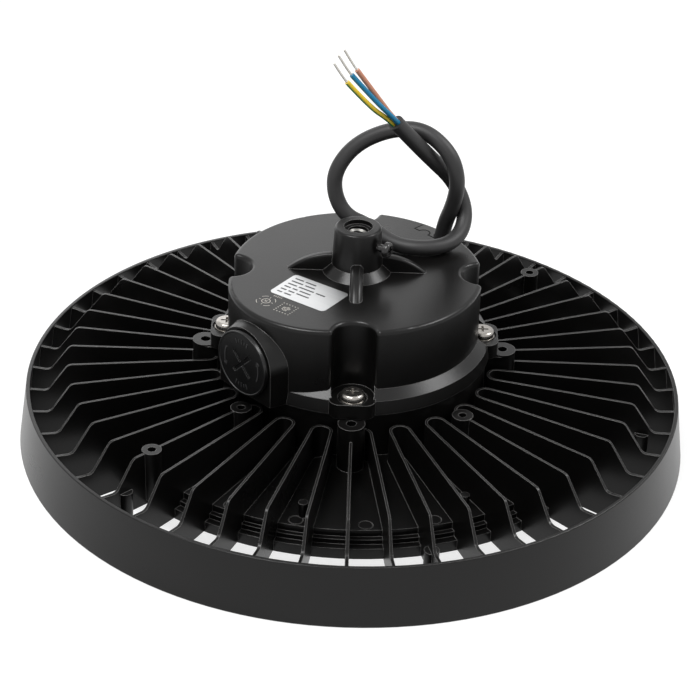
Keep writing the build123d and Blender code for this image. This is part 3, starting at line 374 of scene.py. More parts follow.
def mesh_piece(name, bm, material, sharp_angle=35.0):
    """Turns a bmesh into a piece, with sharp edges kept where faces meet steeply."""
    bmesh.ops.remove_doubles(bm, verts=bm.verts, dist=MERGE_DISTANCE)
    bmesh.ops.recalc_face_normals(bm, faces=bm.faces)
    limit = math.radians(sharp_angle)
    for edge in bm.edges:
        edge.smooth = len(edge.link_faces) == 2 and edge.calc_face_angle(0) < limit
    for face in bm.faces:
        face.smooth = True
    mesh = bpy.data.meshes.new(name)
    bm.to_mesh(mesh)
    bm.free()
    return add_object(name, mesh, material)


def dress(node, material):
    """Gives a node of the frame its finish."""
    data = NODES[node].data
    data.materials.clear()
    data.materials.append(material)


def bar(bm, length, width, height, place):
    """Small block that stands on its place's ground."""
    block = Matrix.Diagonal((length, width, height, 1))
    bmesh.ops.create_cube(bm, size=1, matrix=place @ moved(z=height / 2) @ block)


def flat_ring(inner, outer, height):
    """Profile of a flat ring, to be spun."""
    return [(inner, 0), (outer, 0), (outer, height), (inner, height)]


def spun(bm, profile, place, start=0.0, sweep=2 * math.pi, steps=48, rise=0.0):
    """Closed profile of radius and height, turned about the place's axis."""
    made = [bm.verts.new((radius, 0, z)) for radius, z in profile]
    edges = [bm.edges.new((a, b)) for a, b in zip(made, made[1:] + made[:1])]
    bmesh.ops.rotate(bm, verts=made, cent=(0, 0, 0), matrix=Matrix.Rotation(start, 3, "Z"))
    full = abs(sweep - 2 * math.pi) < 1e-6 and rise == 0
    before = set(bm.verts) - set(made)
    bmesh.ops.spin(
        bm, geom=made + edges, cent=(0, 0, 0), axis=(0, 0, 1), dvec=(0, 0, rise / steps),
        angle=sweep, steps=steps, use_merge=full,
    )
    new = [v for v in bm.verts if v not in before]
    if not full:
        open_edges = [e for e in bm.edges if e.is_boundary and e.verts[0] not in before]
        bmesh.ops.holes_fill(bm, edges=open_edges, sides=len(profile))
    bmesh.ops.transform(bm, matrix=place, verts=new)


def nurbs_curve(name, points, diameter):
    """Smooth round cord with the route's points as its control points."""
    data = bpy.data.curves.new(name, "CURVE")
    data.dimensions = "3D"
    data.resolution_u = 16
    data.bevel_depth = diameter / 2
    data.bevel_resolution = 8
    data.use_fill_caps = True
    spline = data.splines.new("NURBS")
    spline.points.add(len(points) - 1)
    for point, place in zip(spline.points, points):
        point.co = (*place, 1)
    spline.order_u = 3
    spline.use_endpoint_u = True
    spline.use_smooth = True
    return data


def route_line(points):
    """Points along a route's smooth curve."""
    probe = bpy.data.objects.new("probe", nurbs_curve("probe", points, 0))
    mesh = bpy.data.meshes.new_from_object(probe)
    line = [v.co.copy() for v in mesh.vertices]
    bpy.data.objects.remove(probe)
    bpy.data.meshes.remove(mesh)
    return line


def strand_bundle(name, route, material):
    """Twisted wires along a route: one in the middle and the rest wound round it."""
    wire = sizes().wire_diameter
    count = sizes().wire_count
    line = route_line(route)
    last = len(line) - 1
    data = bpy.data.curves.new(name, "CURVE")
    data.dimensions = "3D"
    data.bevel_depth = wire / 2
    data.bevel_resolution = 2
    data.use_fill_caps = True
    across = (line[last] - line[0]).cross(Vector((0, 0, 1))).normalized()
    for order in range(count + 1):
        spline = data.splines.new("POLY")
        spline.points.add(last)
        travelled = 0.0
        for n, here in enumerate(line):
            along = (line[min(n + 1, last)] - line[max(n - 1, 0)]).normalized()
            side = (across - along * across.dot(along)).normalized()
            up = along.cross(side)
            if n:
                travelled += (here - line[n - 1]).length
            turn = 2 * math.pi * (order / count + travelled / STRAND_TWIST_PITCH)
            reach = 0 if order == count else wire
            place = here + (side * math.cos(turn) + up * math.sin(turn)) * reach
            spline.points[n].co = (*place, 1)
        spline.use_smooth = True
    return add_object(name, data, material)


# Node groups

def make_group(name, inputs, outputs):
    """Empty shader group with its sockets."""
    group = bpy.data.node_groups.new(name, "ShaderNodeTree")
    for label, default in inputs:
        socket = group.interface.new_socket(label, in_out="INPUT", socket_type="NodeSocketFloat")
        socket.default_value = default
    for label in outputs:
        group.interface.new_socket(label, in_out="OUTPUT", socket_type="NodeSocketFloat")
    return group, group.nodes.new("NodeGroupInput"), group.nodes.new("NodeGroupOutput")


def math_node(tree, operation, first, second):
    """Math node with each input a number or a socket."""
    node = tree.nodes.new("ShaderNodeMath")
    node.operation = operation
    for socket, value in zip(node.inputs, (first, second)):
        if isinstance(value, bpy.types.NodeSocket):
            tree.links.new(value, socket)
        else:
            socket.default_value = value
    return node.outputs[0]


def noise_node(tree, vector, scale, detail=2.0):
    """Noise whose scale is a number or a socket."""
    node = tree.nodes.new("ShaderNodeTexNoise")
    node.inputs["Detail"].default_value = detail
    tree.links.new(vector, node.inputs["Vector"])
    if isinstance(scale, bpy.types.NodeSocket):
        tree.links.new(scale, node.inputs["Scale"])
    else:
        node.inputs["Scale"].default_value = scale
    return node.outputs["Fac"]


def grain_group():
    """Fine grain of a coat or a moulding: a height for bumps and a slow tone on the surface."""
    name = "surface_grain"
    if name in bpy.data.node_groups:
        return bpy.data.node_groups[name]
    group, source, sink = make_group(
        name,
        [("Grain Size", 0.8 * MM), ("Fine Share", 0.4), ("Tone Size", 30 * MM)],
        ["Height", "Tone"],
    )
    place = group.nodes.new("ShaderNodeTexCoord").outputs["Object"]
    coarse_scale = math_node(group, "DIVIDE", 1.0, source.outputs["Grain Size"])
    fine_scale = math_node(group, "MULTIPLY", coarse_scale, FINE_GRAIN_RATIO)
    tone_scale = math_node(group, "DIVIDE", 1.0, source.outputs["Tone Size"])
    coarse = noise_node(group, place, coarse_scale)
    fine = noise_node(group, place, fine_scale, detail=3.0)
    fine_part = math_node(group, "MULTIPLY", fine, source.outputs["Fine Share"])
    group.links.new(math_node(group, "ADD", coarse, fine_part), sink.inputs["Height"])
    group.links.new(noise_node(group, place, tone_scale, detail=4.0), sink.inputs["Tone"])
    return group


def brush_group():
    """Fine straight scratches of rolled or brushed metal."""
    name = "brushed_lines"
    if name in bpy.data.node_groups:
        return bpy.data.node_groups[name]
    group, source, sink = make_group(
        name,
        [("Line Width", 0.25 * MM), ("Line Length", 12 * MM), ("Turn", 0.0)],
        ["Lines"],
    )
    place = group.nodes.new("ShaderNodeTexCoord").outputs["Object"]
    rotate = group.nodes.new("ShaderNodeVectorRotate")
    rotate.rotation_type = "Z_AXIS"
    group.links.new(place, rotate.inputs["Vector"])
    group.links.new(source.outputs["Turn"], rotate.inputs["Angle"])
    scale = group.nodes.new("ShaderNodeCombineXYZ")
    for axis, label in (("X", "Line Length"), ("Y", "Line Width"), ("Z", "Line Width")):
        share = math_node(group, "DIVIDE", 1.0, source.outputs[label])
        group.links.new(share, scale.inputs[axis])
    stretch = group.nodes.new("ShaderNodeVectorMath")
    stretch.operation = "MULTIPLY"
    group.links.new(rotate.outputs["Vector"], stretch.inputs[0])
    group.links.new(scale.outputs["Vector"], stretch.inputs[1])
    lines = noise_node(group, stretch.outputs["Vector"], 1.0, detail=3.0)
    group.links.new(lines, sink.inputs["Lines"])
    return group


def place_group(tree, group, **values):
    """Group node in a material, with its own values."""
    node = tree.nodes.new("ShaderNodeGroup")
    node.node_tree = group
    for label, value in values.items():
        node.inputs[label.replace("_", " ").title()].default_value = value
    return node


# Materials

def new_material(name):
    """Material with its Principled shader."""
    material = bpy.data.materials.new(name)
    material.use_nodes = True
    return material, material.node_tree, material.node_tree.nodes["Principled BSDF"]


def blend_colors(tree, mask, low, high):
    """Mixes two colours, each a value or a socket, by a mask and returns the colour socket."""
    node = tree.nodes.new("ShaderNodeMix")
    node.data_type = "RGBA"
    tree.links.new(mask, node.inputs["Factor"])
    for label, color in (("A", low), ("B", high)):
        if isinstance(color, bpy.types.NodeSocket):
            tree.links.new(color, node.inputs[label])
        else:
            node.inputs[label].default_value = (*color, 1)
    return node.outputs["Result"]


def spread(tree, value, low, high, start=0.3, end=0.7):
    """Maps a value from start and end to low and high; the usual start and end suit noise."""
    node = tree.nodes.new("ShaderNodeMapRange")
    tree.links.new(value, node.inputs["Value"])
    limits = {"From Min": start, "From Max": end, "To Min": low, "To Max": high}
    for label, number in limits.items():
        node.inputs[label].default_value = number
    return node.outputs["Result"]


def vary_gloss(tree, shader, value, roughness, change):
    """Roughness that follows a value, up and down by a share."""
    gloss = spread(tree, value, roughness * (1 - change), roughness * (1 + change))
    tree.links.new(gloss, shader.inputs["Roughness"])


def bump(tree, shader, height, distance, rounded=0.0):
    """Bump from a height, over edges rounded by a radius; returns the rounded normal."""
    node = tree.nodes.new("ShaderNodeBump")
    node.inputs["Distance"].default_value = distance
    tree.links.new(height, node.inputs["Height"])
    tree.links.new(node.outputs["Normal"], shader.inputs["Normal"])
    if not rounded:
        return None
    edge = tree.nodes.new("ShaderNodeBevel")
    edge.samples = 6
    edge.inputs["Radius"].default_value = rounded
    tree.links.new(edge.outputs["Normal"], node.inputs["Normal"])
    return edge.outputs["Normal"]


def edge_wear_and_highlight_mask(tree, rounded_normal):
    """1 where the rounded normal turns away from the face's own, so on sharp edges, where a
    paler colour paints edge highlights and faint wear.
    """
    own = tree.nodes.new("ShaderNodeNewGeometry").outputs["Normal"]
    dot = tree.nodes.new("ShaderNodeVectorMath")
    dot.operation = "DOT_PRODUCT"
    tree.links.new(own, dot.inputs[0])
    tree.links.new(rounded_normal, dot.inputs[1])
    return spread(tree, dot.outputs["Value"], 1.0, 0.0, FULL_WEAR_AND_HIGHLIGHT_DOT, NO_WEAR_AND_HIGHLIGHT_DOT)


def grained(name, color, roughness, grain_size, depth, rounded=0.0, tone=0.25, specular=0.5,
            tone_size=30 * MM, edge_wear_and_highlight=None):
    """Coat, moulding or rubber: fine grain, slow changes of tone and gloss, painted edge
    highlights with faint wear.
    """
    material, tree, shader = new_material(name)
    grain = place_group(tree, grain_group(), grain_size=grain_size, tone_size=tone_size)
    darker = [c * (1 - tone) for c in color]
    lighter = [min(1, c * (1 + tone)) for c in color]
    mask = spread(tree, grain.outputs["Tone"], 0.0, 1.0)
    ground = blend_colors(tree, mask, darker, lighter)
    vary_gloss(tree, shader, grain.outputs["Tone"], roughness, GRAINED_GLOSS_CHANGE)
    shader.inputs["Specular IOR Level"].default_value = specular
    rounded_normal = bump(tree, shader, grain.outputs["Height"], depth, rounded)
    # Paler sharp edges: painted edge highlights, with faint wear
    if edge_wear_and_highlight is not None:
        ground = blend_colors(tree, edge_wear_and_highlight_mask(tree, rounded_normal), ground, edge_wear_and_highlight)
    tree.links.new(ground, shader.inputs["Base Color"])
    return material


def brushed(name, color, roughness, turn=0.0, line_length=12 * MM, line_width=0.25 * MM,
            rounded=0.0):
    """Bare metal with fine straight lines."""
    material, tree, shader = new_material(name)
    group = place_group(
        tree, brush_group(), line_length=line_length, line_width=line_width, turn=turn
    )
    lines = group.outputs["Lines"]
    shade = [c * BRUSHED_SHADE for c in color]
    tone = blend_colors(tree, spread(tree, lines, 0.0, 1.0), shade, color)
    tree.links.new(tone, shader.inputs["Base Color"])
    vary_gloss(tree, shader, lines, roughness, BRUSHED_GLOSS_CHANGE)
    shader.inputs["Metallic"].default_value = 1.0
    bump(tree, shader, lines, 0.01 * MM, rounded)
    return material


def two_tone(name, low, high, height, softness):
    """Two colours that change at a height, as on a wound part with its core."""
    material, tree, shader = new_material(name)
    place = tree.nodes.new("ShaderNodeTexCoord").outputs["Object"]
    split = tree.nodes.new("ShaderNodeSeparateXYZ")
    tree.links.new(place, split.inputs["Vector"])
    mask = spread(tree, split.outputs["Z"], 0.0, 1.0, height - softness, height + softness)
    tree.links.new(blend_colors(tree, mask, low, high), shader.inputs["Base Color"])
    shader.inputs["Roughness"].default_value = 0.4
    grain = place_group(tree, grain_group(), grain_size=0.6 * MM)
    bump(tree, shader, grain.outputs["Height"], 0.05 * MM)
    return material


def striped_insulation(name, ground, stripe):
    """Insulation with a stripe along it."""
    material, tree, shader = new_material(name)
    mapping = tree.nodes.new("ShaderNodeTexCoord").outputs["UV"]
    split = tree.nodes.new("ShaderNodeSeparateXYZ")
    tree.links.new(mapping, split.inputs["Vector"])
    shifted = math_node(tree, "ADD", split.outputs["Y"], STRIPE_TURN)
    around = math_node(tree, "FRACT", shifted, 0)
    mask = math_node(tree, "LESS_THAN", around, STRIPE_SHARE)
    tree.links.new(blend_colors(tree, mask, ground, stripe), shader.inputs["Base Color"])
    shader.inputs["Roughness"].default_value = 0.4
    grain = place_group(tree, grain_group(), grain_size=0.5 * MM)
    bump(tree, shader, grain.outputs["Height"], 0.01 * MM)
    return material


def clear_lens(name):
    """Clear moulded plastic with a faint texture."""
    material, tree, shader = new_material(name)
    shader.inputs["Base Color"].default_value = (0.97, 0.985, 0.98, 1)
    shader.inputs["Transmission Weight"].default_value = 1.0
    shader.inputs["IOR"].default_value = 1.58
    grain = place_group(tree, grain_group(), grain_size=1.5 * MM)
    gloss = spread(tree, grain.outputs["Tone"], 0.03, 0.08)
    tree.links.new(gloss, shader.inputs["Roughness"])
    bump(tree, shader, grain.outputs["Height"], 0.005 * MM)
    return material


def dress_plain(finishes):
    """Gives each node of a table its plain finish."""
    for node, (name, color, roughness, grain_size, depth, tone) in finishes.items():
        dress(node, grained(name, color, roughness, grain_size * MM, depth * MM, tone=tone))


def seen_ray(tree):
    """1 on rays that show a background: to the camera, off a glossy surface or through glass."""
    rays = tree.nodes.new("ShaderNodeLightPath").outputs
    straight = math_node(tree, "MAXIMUM", rays["Is Camera Ray"], rays["Is Transmission Ray"])
    return math_node(tree, "MAXIMUM", straight, rays["Is Glossy Ray"])


# Operators

class HIGHBAY_OT_camera(bpy.types.Operator):
    """Place the camera in front of and above the light"""

    bl_idname = "highbay.camera"
    bl_label = "Camera"

    def execute(self, context):
        data = bpy.data.cameras.new("camera")
        data.lens = CAMERA_LENS
        data.sensor_width = CAMERA_SENSOR
        data.clip_end = CAMERA_REACH
        camera = bpy.data.objects.new("camera", data)
        context.scene.collection.objects.link(camera)
        ahead = Vector((0, math.cos(CAMERA_TILT), -math.sin(CAMERA_TILT)))
        up = Vector((0, math.sin(CAMERA_TILT), math.cos(CAMERA_TILT)))
        right = Vector((1, 0, 0))
        rolled_right = right * math.cos(CAMERA_ROLL) + up * math.sin(CAMERA_ROLL)
        rolled_up = up * math.cos(CAMERA_ROLL) - right * math.sin(CAMERA_ROLL)
        turn = Matrix((rolled_right, rolled_up, -ahead)).transposed()
        camera.matrix_world = Matrix.Translation(CAMERA_PLACE) @ turn.to_4x4()
        context.scene.camera = camera
        return {"FINISHED"}


class HIGHBAY_OT_supply_cable(bpy.types.Operator):
    """Make the supply cable with its three cores and their bare strands"""

    bl_idname = "highbay.supply_cable"
    bl_label = "Supply cable"

    def execute(self, context):
        colors = finish_colors()
        jacket = grained(
            "jacket_rubber", colors.jacket, roughness=0.5, grain_size=0.6 * MM,
            depth=0.03 * MM, tone=0.12, specular=0.45,
        )
        data = nurbs_curve("cable_jacket", CABLE_ROUTE, sizes().cable_diameter)
        cable = add_object("cable_jacket", data, jacket)
        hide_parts("supply_cable")
        tin = brushed(
            "tinned_wire", (0.70, 0.68, 0.64), roughness=0.28, line_length=2 * MM,
            line_width=0.2 * MM,
        )
        smooth = {"roughness": 0.42, "grain_size": 0.5 * MM, "depth": 0.01 * MM, "tone": 0.08}
        finishes = {
            "brown": grained("brown_insulation", colors.brown, **smooth),
            "blue": grained("blue_insulation", colors.blue, **smooth),
            "earth": striped_insulation("earth_insulation", colors.green, colors.yellow),
        }
        bundles = []
        for color, route in CORE_ROUTES.items():
            strands = [route[-1], *STRAND_ROUTES[color]]
            bundle = strand_bundle(f"{color}_strands", strands, tin)
            data = nurbs_curve(f"{color}_core", route, sizes().core_diameter)
            core = add_object(f"{color}_core", data, finishes[color])
            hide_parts(f"core_{color}")
            bundles.append(bundle)
        for bundle in bundles:
            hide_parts("strand_ends")
        return {"FINISHED"}


class HIGHBAY_OT_castings(bpy.types.Operator):
    """Give the heat sink and the driver housing their black coat"""

    bl_idname = "highbay.castings"
    bl_label = "Castings"

    def execute(self, context):
        colors = finish_colors()
        # The coat's paler sharp edges are painted edge highlights, with faint wear
        coat = grained(
            "black_powder_coat", colors.coat, roughness=0.29, grain_size=0.7 * MM,
            depth=0.03 * MM, rounded=0.36 * MM, specular=0.28, tone_size=60 * MM,
            edge_wear_and_highlight=colors.edge_wear_and_highlight,
        )
        for node in ("heat_sink", "driver_housing"):
            dress(node, coat)
        return {"FINISHED"}


class HIGHBAY_OT_fasteners(bpy.types.Operator):
    """Finish the screws and washers"""

    bl_idname = "highbay.fasteners"
    bl_label = "Fasteners"

    def execute(self, context):
        nickel = brushed(
            "nickel_plate", finish_colors().nickel, roughness=0.27, line_length=3 * MM,
            line_width=0.4 * MM, rounded=0.25 * MM,
        )
        plated = (
            "housing_screws", "screw_washers", "lens_screws", "led_board_screws", "board_screws",
        )
        for node in plated:
            dress(node, nickel)
        oxide = grained(
            "black_oxide", (0.018, 0.017, 0.017), roughness=0.22, grain_size=0.4 * MM,
            depth=0.01 * MM, rounded=0.2 * MM,
        )
        dress("set_screw", oxide)
        return {"FINISHED"}


class HIGHBAY_OT_port(bpy.types.Operator):
    """Finish the sensor port's plug and raise its turn marks"""

    bl_idname = "highbay.port"
    bl_label = "Sensor port"

    def execute(self, context):
        # The plug's paler edges are a painted edge highlight, with faint wear
        moulding = grained(
            "port_moulding", (0.005, 0.005, 0.0052), roughness=0.3, grain_size=0.7 * MM,
            depth=0.012 * MM, rounded=0.3 * MM, specular=0.4, edge_wear_and_highlight=(0.12, 0.12, 0.12),
        )
        dress("port_plug", moulding)
        rubber = grained(
            "seal_rubber", (0.014, 0.014, 0.014), roughness=0.6, grain_size=0.5 * MM,
            depth=0.02 * MM,
        )
        dress("port_seal", rubber)
        self.raise_marks()
        return {"FINISHED"}

    def raise_marks(self):
        """Two turn arrows round the plug, with a row of ticks between them on each side."""
        upright = Matrix.Rotation(math.pi / 2, 4, "Y")
        facing = turned(PORT_ANGLE) @ moved(PLUG_FACE, 0, PORT_Z) @ upright
        height = sizes().mark_height
        profile = flat_ring(ARROW_INNER_R, ARROW_OUTER_R, height)
        middle_r = (ARROW_INNER_R + ARROW_OUTER_R) / 2
        bm = bmesh.new()
        for side in (0, math.pi):
            start = side + math.pi / 2 - ARROW_SWEEP / 2
            spun(bm, profile, facing, start, ARROW_SWEEP, 12)
            tip = facing @ turned(start + ARROW_SWEEP) @ moved(middle_r)
            for turn in (-BARB_ANGLE, BARB_ANGLE):
                bar(bm, *BARB_SIZE, height, tip @ turned(turn) @ moved(y=-BARB_BACK))
            for step in range(-2, 3):
                tick = facing @ turned(side + TICK_ANGLE * step) @ moved(middle_r)
                bar(bm, TICK_LENGTHS[step % 2], TICK_WIDTH, height, tick)
        pale = grained(
            "raised_marks", (0.045, 0.045, 0.046), roughness=0.35, grain_size=0.4 * MM,
            depth=0.01 * MM,
        )
        mesh_piece("plug_marks", bm, pale)


class HIGHBAY_OT_roof(bpy.types.Operator):
    """Finish the label and the cable entry, and mark the roof with plain engraved signs"""

    bl_idname = "highbay.roof"
    bl_label = "Roof"

    def execute(self, context):
        foil = brushed(
            "silver_foil", finish_colors().foil, roughness=0.42, turn=-LABEL_TURN,
            line_length=20 * MM, line_width=0.15 * MM,
        )
        dress("rating_label", foil)
        moulding = grained(
            "entry_moulding", (0.03, 0.029, 0.028), roughness=0.5, grain_size=0.8 * MM,
            depth=0.03 * MM, rounded=0.2 * MM,
        )
        dress("cable_entry", moulding)
        self.print_label()
        self.engrave_roof()
        self.shade_entry_joint()
        return {"FINISHED"}

    def print_label(self):
        """Plain bars in lines, where a label has its print."""
        ink = grained(
            "grey_ink", (0.05, 0.05, 0.052), roughness=0.6, grain_size=0.4 * MM,
            depth=0.005 * MM,
        )
        ground = roof_place(LABEL_PLACE, LABEL_THICKNESS)
        middle = (len(LABEL_LINES) - 1) / 2
        bm = bmesh.new()
        for row, widths in enumerate(LABEL_LINES):
            x = LABEL_LINE_START
            y = LABEL_LINE_GAP * (middle - row)
            for width in widths:
                width *= MM
                place = ground @ moved(x + width / 2, y)
                bar(bm, width, LABEL_BAR_WIDTH, LABEL_BAR_HEIGHT, place)
                x += width + LABEL_BAR_GAP
        mesh_piece("label_bars", bm, ink)

    def engrave_roof(self):
        """Dial, small tick row and square of dots, as a laser leaves them."""
        bare = grained(
            "engraved_metal", (0.52, 0.49, 0.45), roughness=0.55, grain_size=0.3 * MM,
            depth=0.02 * MM,
        )
        bm = bmesh.new()
        self.engrave_dial(bm, roof_place(DIAL_PLACE))
        ticks = roof_place(TICK_ROW_PLACE)
        for step in range(-2, 3):
            bar(bm, *TICK_ROW_TICK, ENGRAVED_HEIGHT, ticks @ moved(step * TICK_ROW_PITCH))
        self.engrave_dots(bm, roof_place(DOTS_PLACE))
        mesh_piece("roof_marks", bm, bare)

    def engrave_dial(self, bm, dial):
        """Ring with a cross in it, and four ticks and arcs round it."""
        spun(bm, flat_ring(*DIAL_RING, ENGRAVED_HEIGHT), dial, steps=24)
        arc = flat_ring(*DIAL_ARC, ENGRAVED_HEIGHT)
        for quarter in range(4):
            angle = quarter * math.pi / 2
            spun(bm, arc, dial, angle + DIAL_ARC_START, DIAL_ARC_SWEEP, 6)
            tick = dial @ turned(angle) @ moved(DIAL_TICK_R)
            bar(bm, *DIAL_TICK, ENGRAVED_HEIGHT, tick)
            cross = dial @ turned(angle + math.pi / 4) @ moved(DIAL_CROSS_R)
            bar(bm, *DIAL_CROSS, ENGRAVED_HEIGHT, cross)

    def engrave_dots(self, bm, field):
        """Square of dots with a broken frame and a filled middle."""
        last = DOTS_COUNT - 1
        middle = last / 2
        size = DOTS_PITCH * DOTS_SHARE
        for column in range(DOTS_COUNT):
            for row in range(DOTS_COUNT):
                on_edge = column in (0, last) or row in (0, last)
                inside = abs(column - middle) + abs(row - middle) <= 3
                framed = on_edge and (column + row) % 2 == 0
                if framed or inside and (column * row) % 3 != 1:
                    x, y = (column - middle) * DOTS_PITCH, (row - middle) * DOTS_PITCH
                    bar(bm, size, size, ENGRAVED_HEIGHT, field @ moved(x, y))

    def shade_entry_joint(self):
        """Thin black strip along the joint round the cable entry: painted shade of the joint's
        gap.
        """
        ground = turned(ENTRY_ANGLE) @ moved(z=ROOF_Z)
        bm = bmesh.new()
        length = ENTRY_EDGE - ENTRY_CHORD
        for side in (-1, 1):
            place = ground @ moved(ENTRY_CHORD + length / 2, side * ENTRY_HALF_WIDTH)
            bar(bm, length, SHADE_STRIP_WIDTH, SHADE_STRIP_HEIGHT, place)
        spans = (
            (-ENTRY_HALF_WIDTH, NOTCH_ACROSS - NOTCH_R),
            (NOTCH_ACROSS + NOTCH_R, ENTRY_HALF_WIDTH),
        )
        for start, end in spans:
            place = ground @ moved(ENTRY_CHORD, (start + end) / 2)
            bar(bm, SHADE_STRIP_WIDTH, end - start + SHADE_STRIP_WIDTH, SHADE_STRIP_HEIGHT, place)
        shade_strip = flat_ring(NOTCH_R - SHADE_STRIP_WIDTH / 2, NOTCH_R + SHADE_STRIP_WIDTH / 2, SHADE_STRIP_HEIGHT)
        notch = ground @ moved(ENTRY_CHORD, NOTCH_ACROSS)
        spun(bm, shade_strip, notch, -math.pi / 2, math.pi, 16)
        # Near-black strip: painted shade in the joint's gap
        joint_shade = grained(
            "painted_joint_shade", (0.002, 0.002, 0.002), roughness=0.7, grain_size=0.5 * MM,
            depth=0.01 * MM, specular=0.15,
        )
        mesh_piece("entry_joint_shade", bm, joint_shade)


class HIGHBAY_OT_pendant_thread(bpy.types.Operator):
    """Cut the bright thread in the pendant boss"""

    bl_idname = "highbay.pendant_thread"
    bl_label = "Pendant thread"

    def execute(self, context):
        crest_r = THREAD_R - THREAD_DEPTH
        profile = [
            (THREAD_R, 0),
            *((crest_r, THREAD_PITCH * share) for share in THREAD_CREST),
            (THREAD_R, THREAD_PITCH),
        ]
        bm = bmesh.new()
        spun(
            bm, profile, moved(z=THREAD_BOTTOM), sweep=2 * math.pi * THREAD_TURNS,
            steps=THREAD_STEPS_PER_TURN * THREAD_TURNS, rise=THREAD_PITCH * THREAD_TURNS,
        )
        metal = brushed(
            "cut_thread", (0.16, 0.157, 0.15), roughness=0.4, line_length=3 * MM,
            line_width=0.3 * MM,
        )
        mesh_piece("thread_flanks", bm, metal, sharp_angle=25.0)
        return {"FINISHED"}


class HIGHBAY_OT_light_engine(bpy.types.Operator):
    """Finish the lens, its gasket, the LED board and the LEDs"""

    bl_idname = "highbay.light_engine"
    bl_label = "Light engine"

    def execute(self, context):
        dress("lens_plate", clear_lens("clear_lens"))
        dress_plain(LIGHT_ENGINE_FINISHES)
        phosphor = grained(
            "yellow_phosphor", (0.80, 0.55, 0.08), roughness=0.45, grain_size=0.25 * MM,
            depth=0.01 * MM, tone=0.12,
        )
        bm = bmesh.new()
        for radius, count in LED_RINGS:
            for n in range(count):
                turn = turned(2 * math.pi / count * (n + 0.5))
                bmesh.ops.create_cone(
                    bm, cap_ends=True, segments=12, radius1=PHOSPHOR_R, radius2=PHOSPHOR_R,
                    depth=PHOSPHOR_THICKNESS, matrix=turn @ moved(radius * MM, 0, LED_FACE_Z),
                )
        mesh_piece("led_phosphor", bm, phosphor)
        return {"FINISHED"}


class HIGHBAY_OT_driver(bpy.types.Operator):
    """Finish the parts inside the driver housing"""

    bl_idname = "highbay.driver"
    bl_label = "Driver"

    def execute(self, context):
        nylon = grained(
            "natural_nylon", (0.72, 0.71, 0.66), roughness=0.45, grain_size=0.6 * MM,
            depth=0.01 * MM, tone=0.05,
        )
        for node in ("cable_tie", "lead_plug"):
            dress(node, nylon)
        dress_plain(DRIVER_FINISHES)
        for node, (name, low, high, height, softness) in TWO_TONE_FINISHES.items():
            change_z = DRIVER_BOARD_Z + height * MM
            dress(node, two_tone(name, low, high, change_z, softness * MM))
        dress("heat_spreader", brushed("mill_aluminium", (0.66, 0.66, 0.65), roughness=0.35))
        return {"FINISHED"}


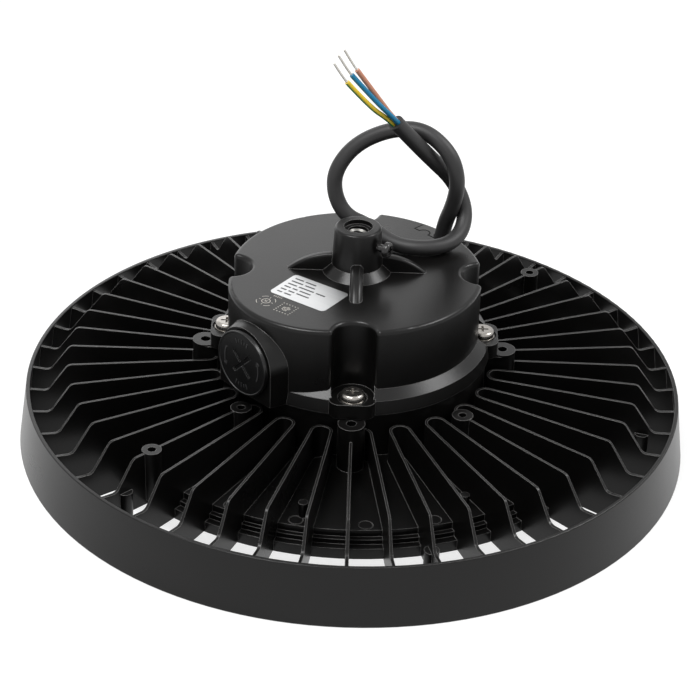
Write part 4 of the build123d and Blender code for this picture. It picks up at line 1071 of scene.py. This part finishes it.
class HIGHBAY_OT_studio(bpy.types.Operator):
    """Set the floor, the soft lamps and the plain surroundings"""

    bl_idname = "highbay.studio"
    bl_label = "Studio"

    def execute(self, context):
        self.floor()
        self.world()
        levels = studio()
        self.lamp("top_lamp", *TOP_LAMP, levels.top_power)
        self.lamp("back_lamp", *BACK_LAMP, levels.back_power)
        self.lamp("right_lamp", *RIGHT_LAMP, levels.right_power)
        context.scene.view_settings.view_transform = "Standard"
        return {"FINISHED"}

    def floor(self):
        """Pale floor that stays white for the camera and keeps the shadow."""
        material, tree, shader = new_material("pale_floor")
        grain = place_group(tree, grain_group(), grain_size=3 * MM)
        tone = blend_colors(tree, grain.outputs["Tone"], FLOOR_DARK, FLOOR_LIGHT)
        tree.links.new(tone, shader.inputs["Base Color"])
        shader.inputs["Roughness"].default_value = 0.9
        shader.inputs["Specular IOR Level"].default_value = 0.1
        shader.inputs["Emission Color"].default_value = (1, 1, 1, 1)
        distance = tree.nodes.new("ShaderNodeVectorMath")
        distance.operation = "LENGTH"
        place = tree.nodes.new("ShaderNodeTexCoord").outputs["Object"]
        tree.links.new(place, distance.inputs[0])
        glow = spread(
            tree, distance.outputs["Value"], GLOW_NEAR, GLOW_FAR, GLOW_START, GLOW_END
        )
        emission = math_node(tree, "MULTIPLY", seen_ray(tree), glow)
        tree.links.new(emission, shader.inputs["Emission Strength"])
        bm = bmesh.new()
        bmesh.ops.create_grid(bm, x_segments=1, y_segments=1, size=FLOOR_HALF_SIZE)
        mesh = bpy.data.meshes.new("floor")
        bm.to_mesh(mesh)
        bm.free()
        mesh.materials.append(material)
        ground = bpy.data.objects.new("floor", mesh)
        ground.location = (0, 0, -FLOOR_DROP)
        bpy.context.scene.collection.objects.link(ground)

    def world(self):
        """Even surroundings, white where the camera looks past the floor."""
        world = bpy.data.worlds.new("studio")
        bpy.context.scene.world = world
        world.use_nodes = True
        tree = world.node_tree
        background = tree.nodes["Background"]
        background.inputs["Color"].default_value = (1, 1, 1, 1)
        level = spread(tree, seen_ray(tree), studio().ambient, 1.0, 0.0, 1.0)
        tree.links.new(level, background.inputs["Strength"])

    def lamp(self, name, place, size, power):
        """Rectangular soft lamp aimed at the light."""
        data = bpy.data.lights.new(name, "AREA")
        data.shape = "RECTANGLE"
        data.size, data.size_y = size
        data.energy = power
        lamp = bpy.data.objects.new(name, data)
        bpy.context.scene.collection.objects.link(lamp)
        lamp.location = place
        aim = Vector(LAMP_AIM) - Vector(place)
        lamp.rotation_euler = aim.to_track_quat("-Z", "Y").to_euler()


STEPS = (
    HIGHBAY_OT_camera,
    HIGHBAY_OT_supply_cable,
    HIGHBAY_OT_castings,
    HIGHBAY_OT_fasteners,
    HIGHBAY_OT_port,
    HIGHBAY_OT_roof,
    HIGHBAY_OT_pendant_thread,
    HIGHBAY_OT_light_engine,
    HIGHBAY_OT_driver,
    HIGHBAY_OT_studio,
)


class HIGHBAY_PT_panel(bpy.types.Panel):
    """Lists the steps that dress the light"""

    bl_label = "High Bay Light"
    bl_idname = "HIGHBAY_PT_panel"
    bl_space_type = "VIEW_3D"
    bl_region_type = "UI"
    bl_category = "High Bay"

    def draw(self, context):
        for step in STEPS:
            self.layout.operator(step.bl_idname)
        for group in (sizes(), finish_colors(), studio()):
            box = self.layout.box()
            for label in group.__annotations__:
                box.prop(group, label)


GROUPS = {
    "high_bay_sizes": HighBaySizes,
    "high_bay_finish": HighBayFinish,
    "high_bay_studio": HighBayStudio,
}


def register():
    for cls in (*GROUPS.values(), *STEPS, HIGHBAY_PT_panel):
        bpy.utils.register_class(cls)
    for label, cls in GROUPS.items():
        setattr(bpy.types.Scene, label, PointerProperty(type=cls))


def unregister():
    for label in GROUPS:
        delattr(bpy.types.Scene, label)
    for cls in reversed((*GROUPS.values(), *STEPS, HIGHBAY_PT_panel)):
        bpy.utils.unregister_class(cls)


def main():
    register()
    for step in STEPS:
        group, call = step.bl_idname.split(".")
        getattr(getattr(bpy.ops, group), call)()


if __name__ == "__main__":
    main()
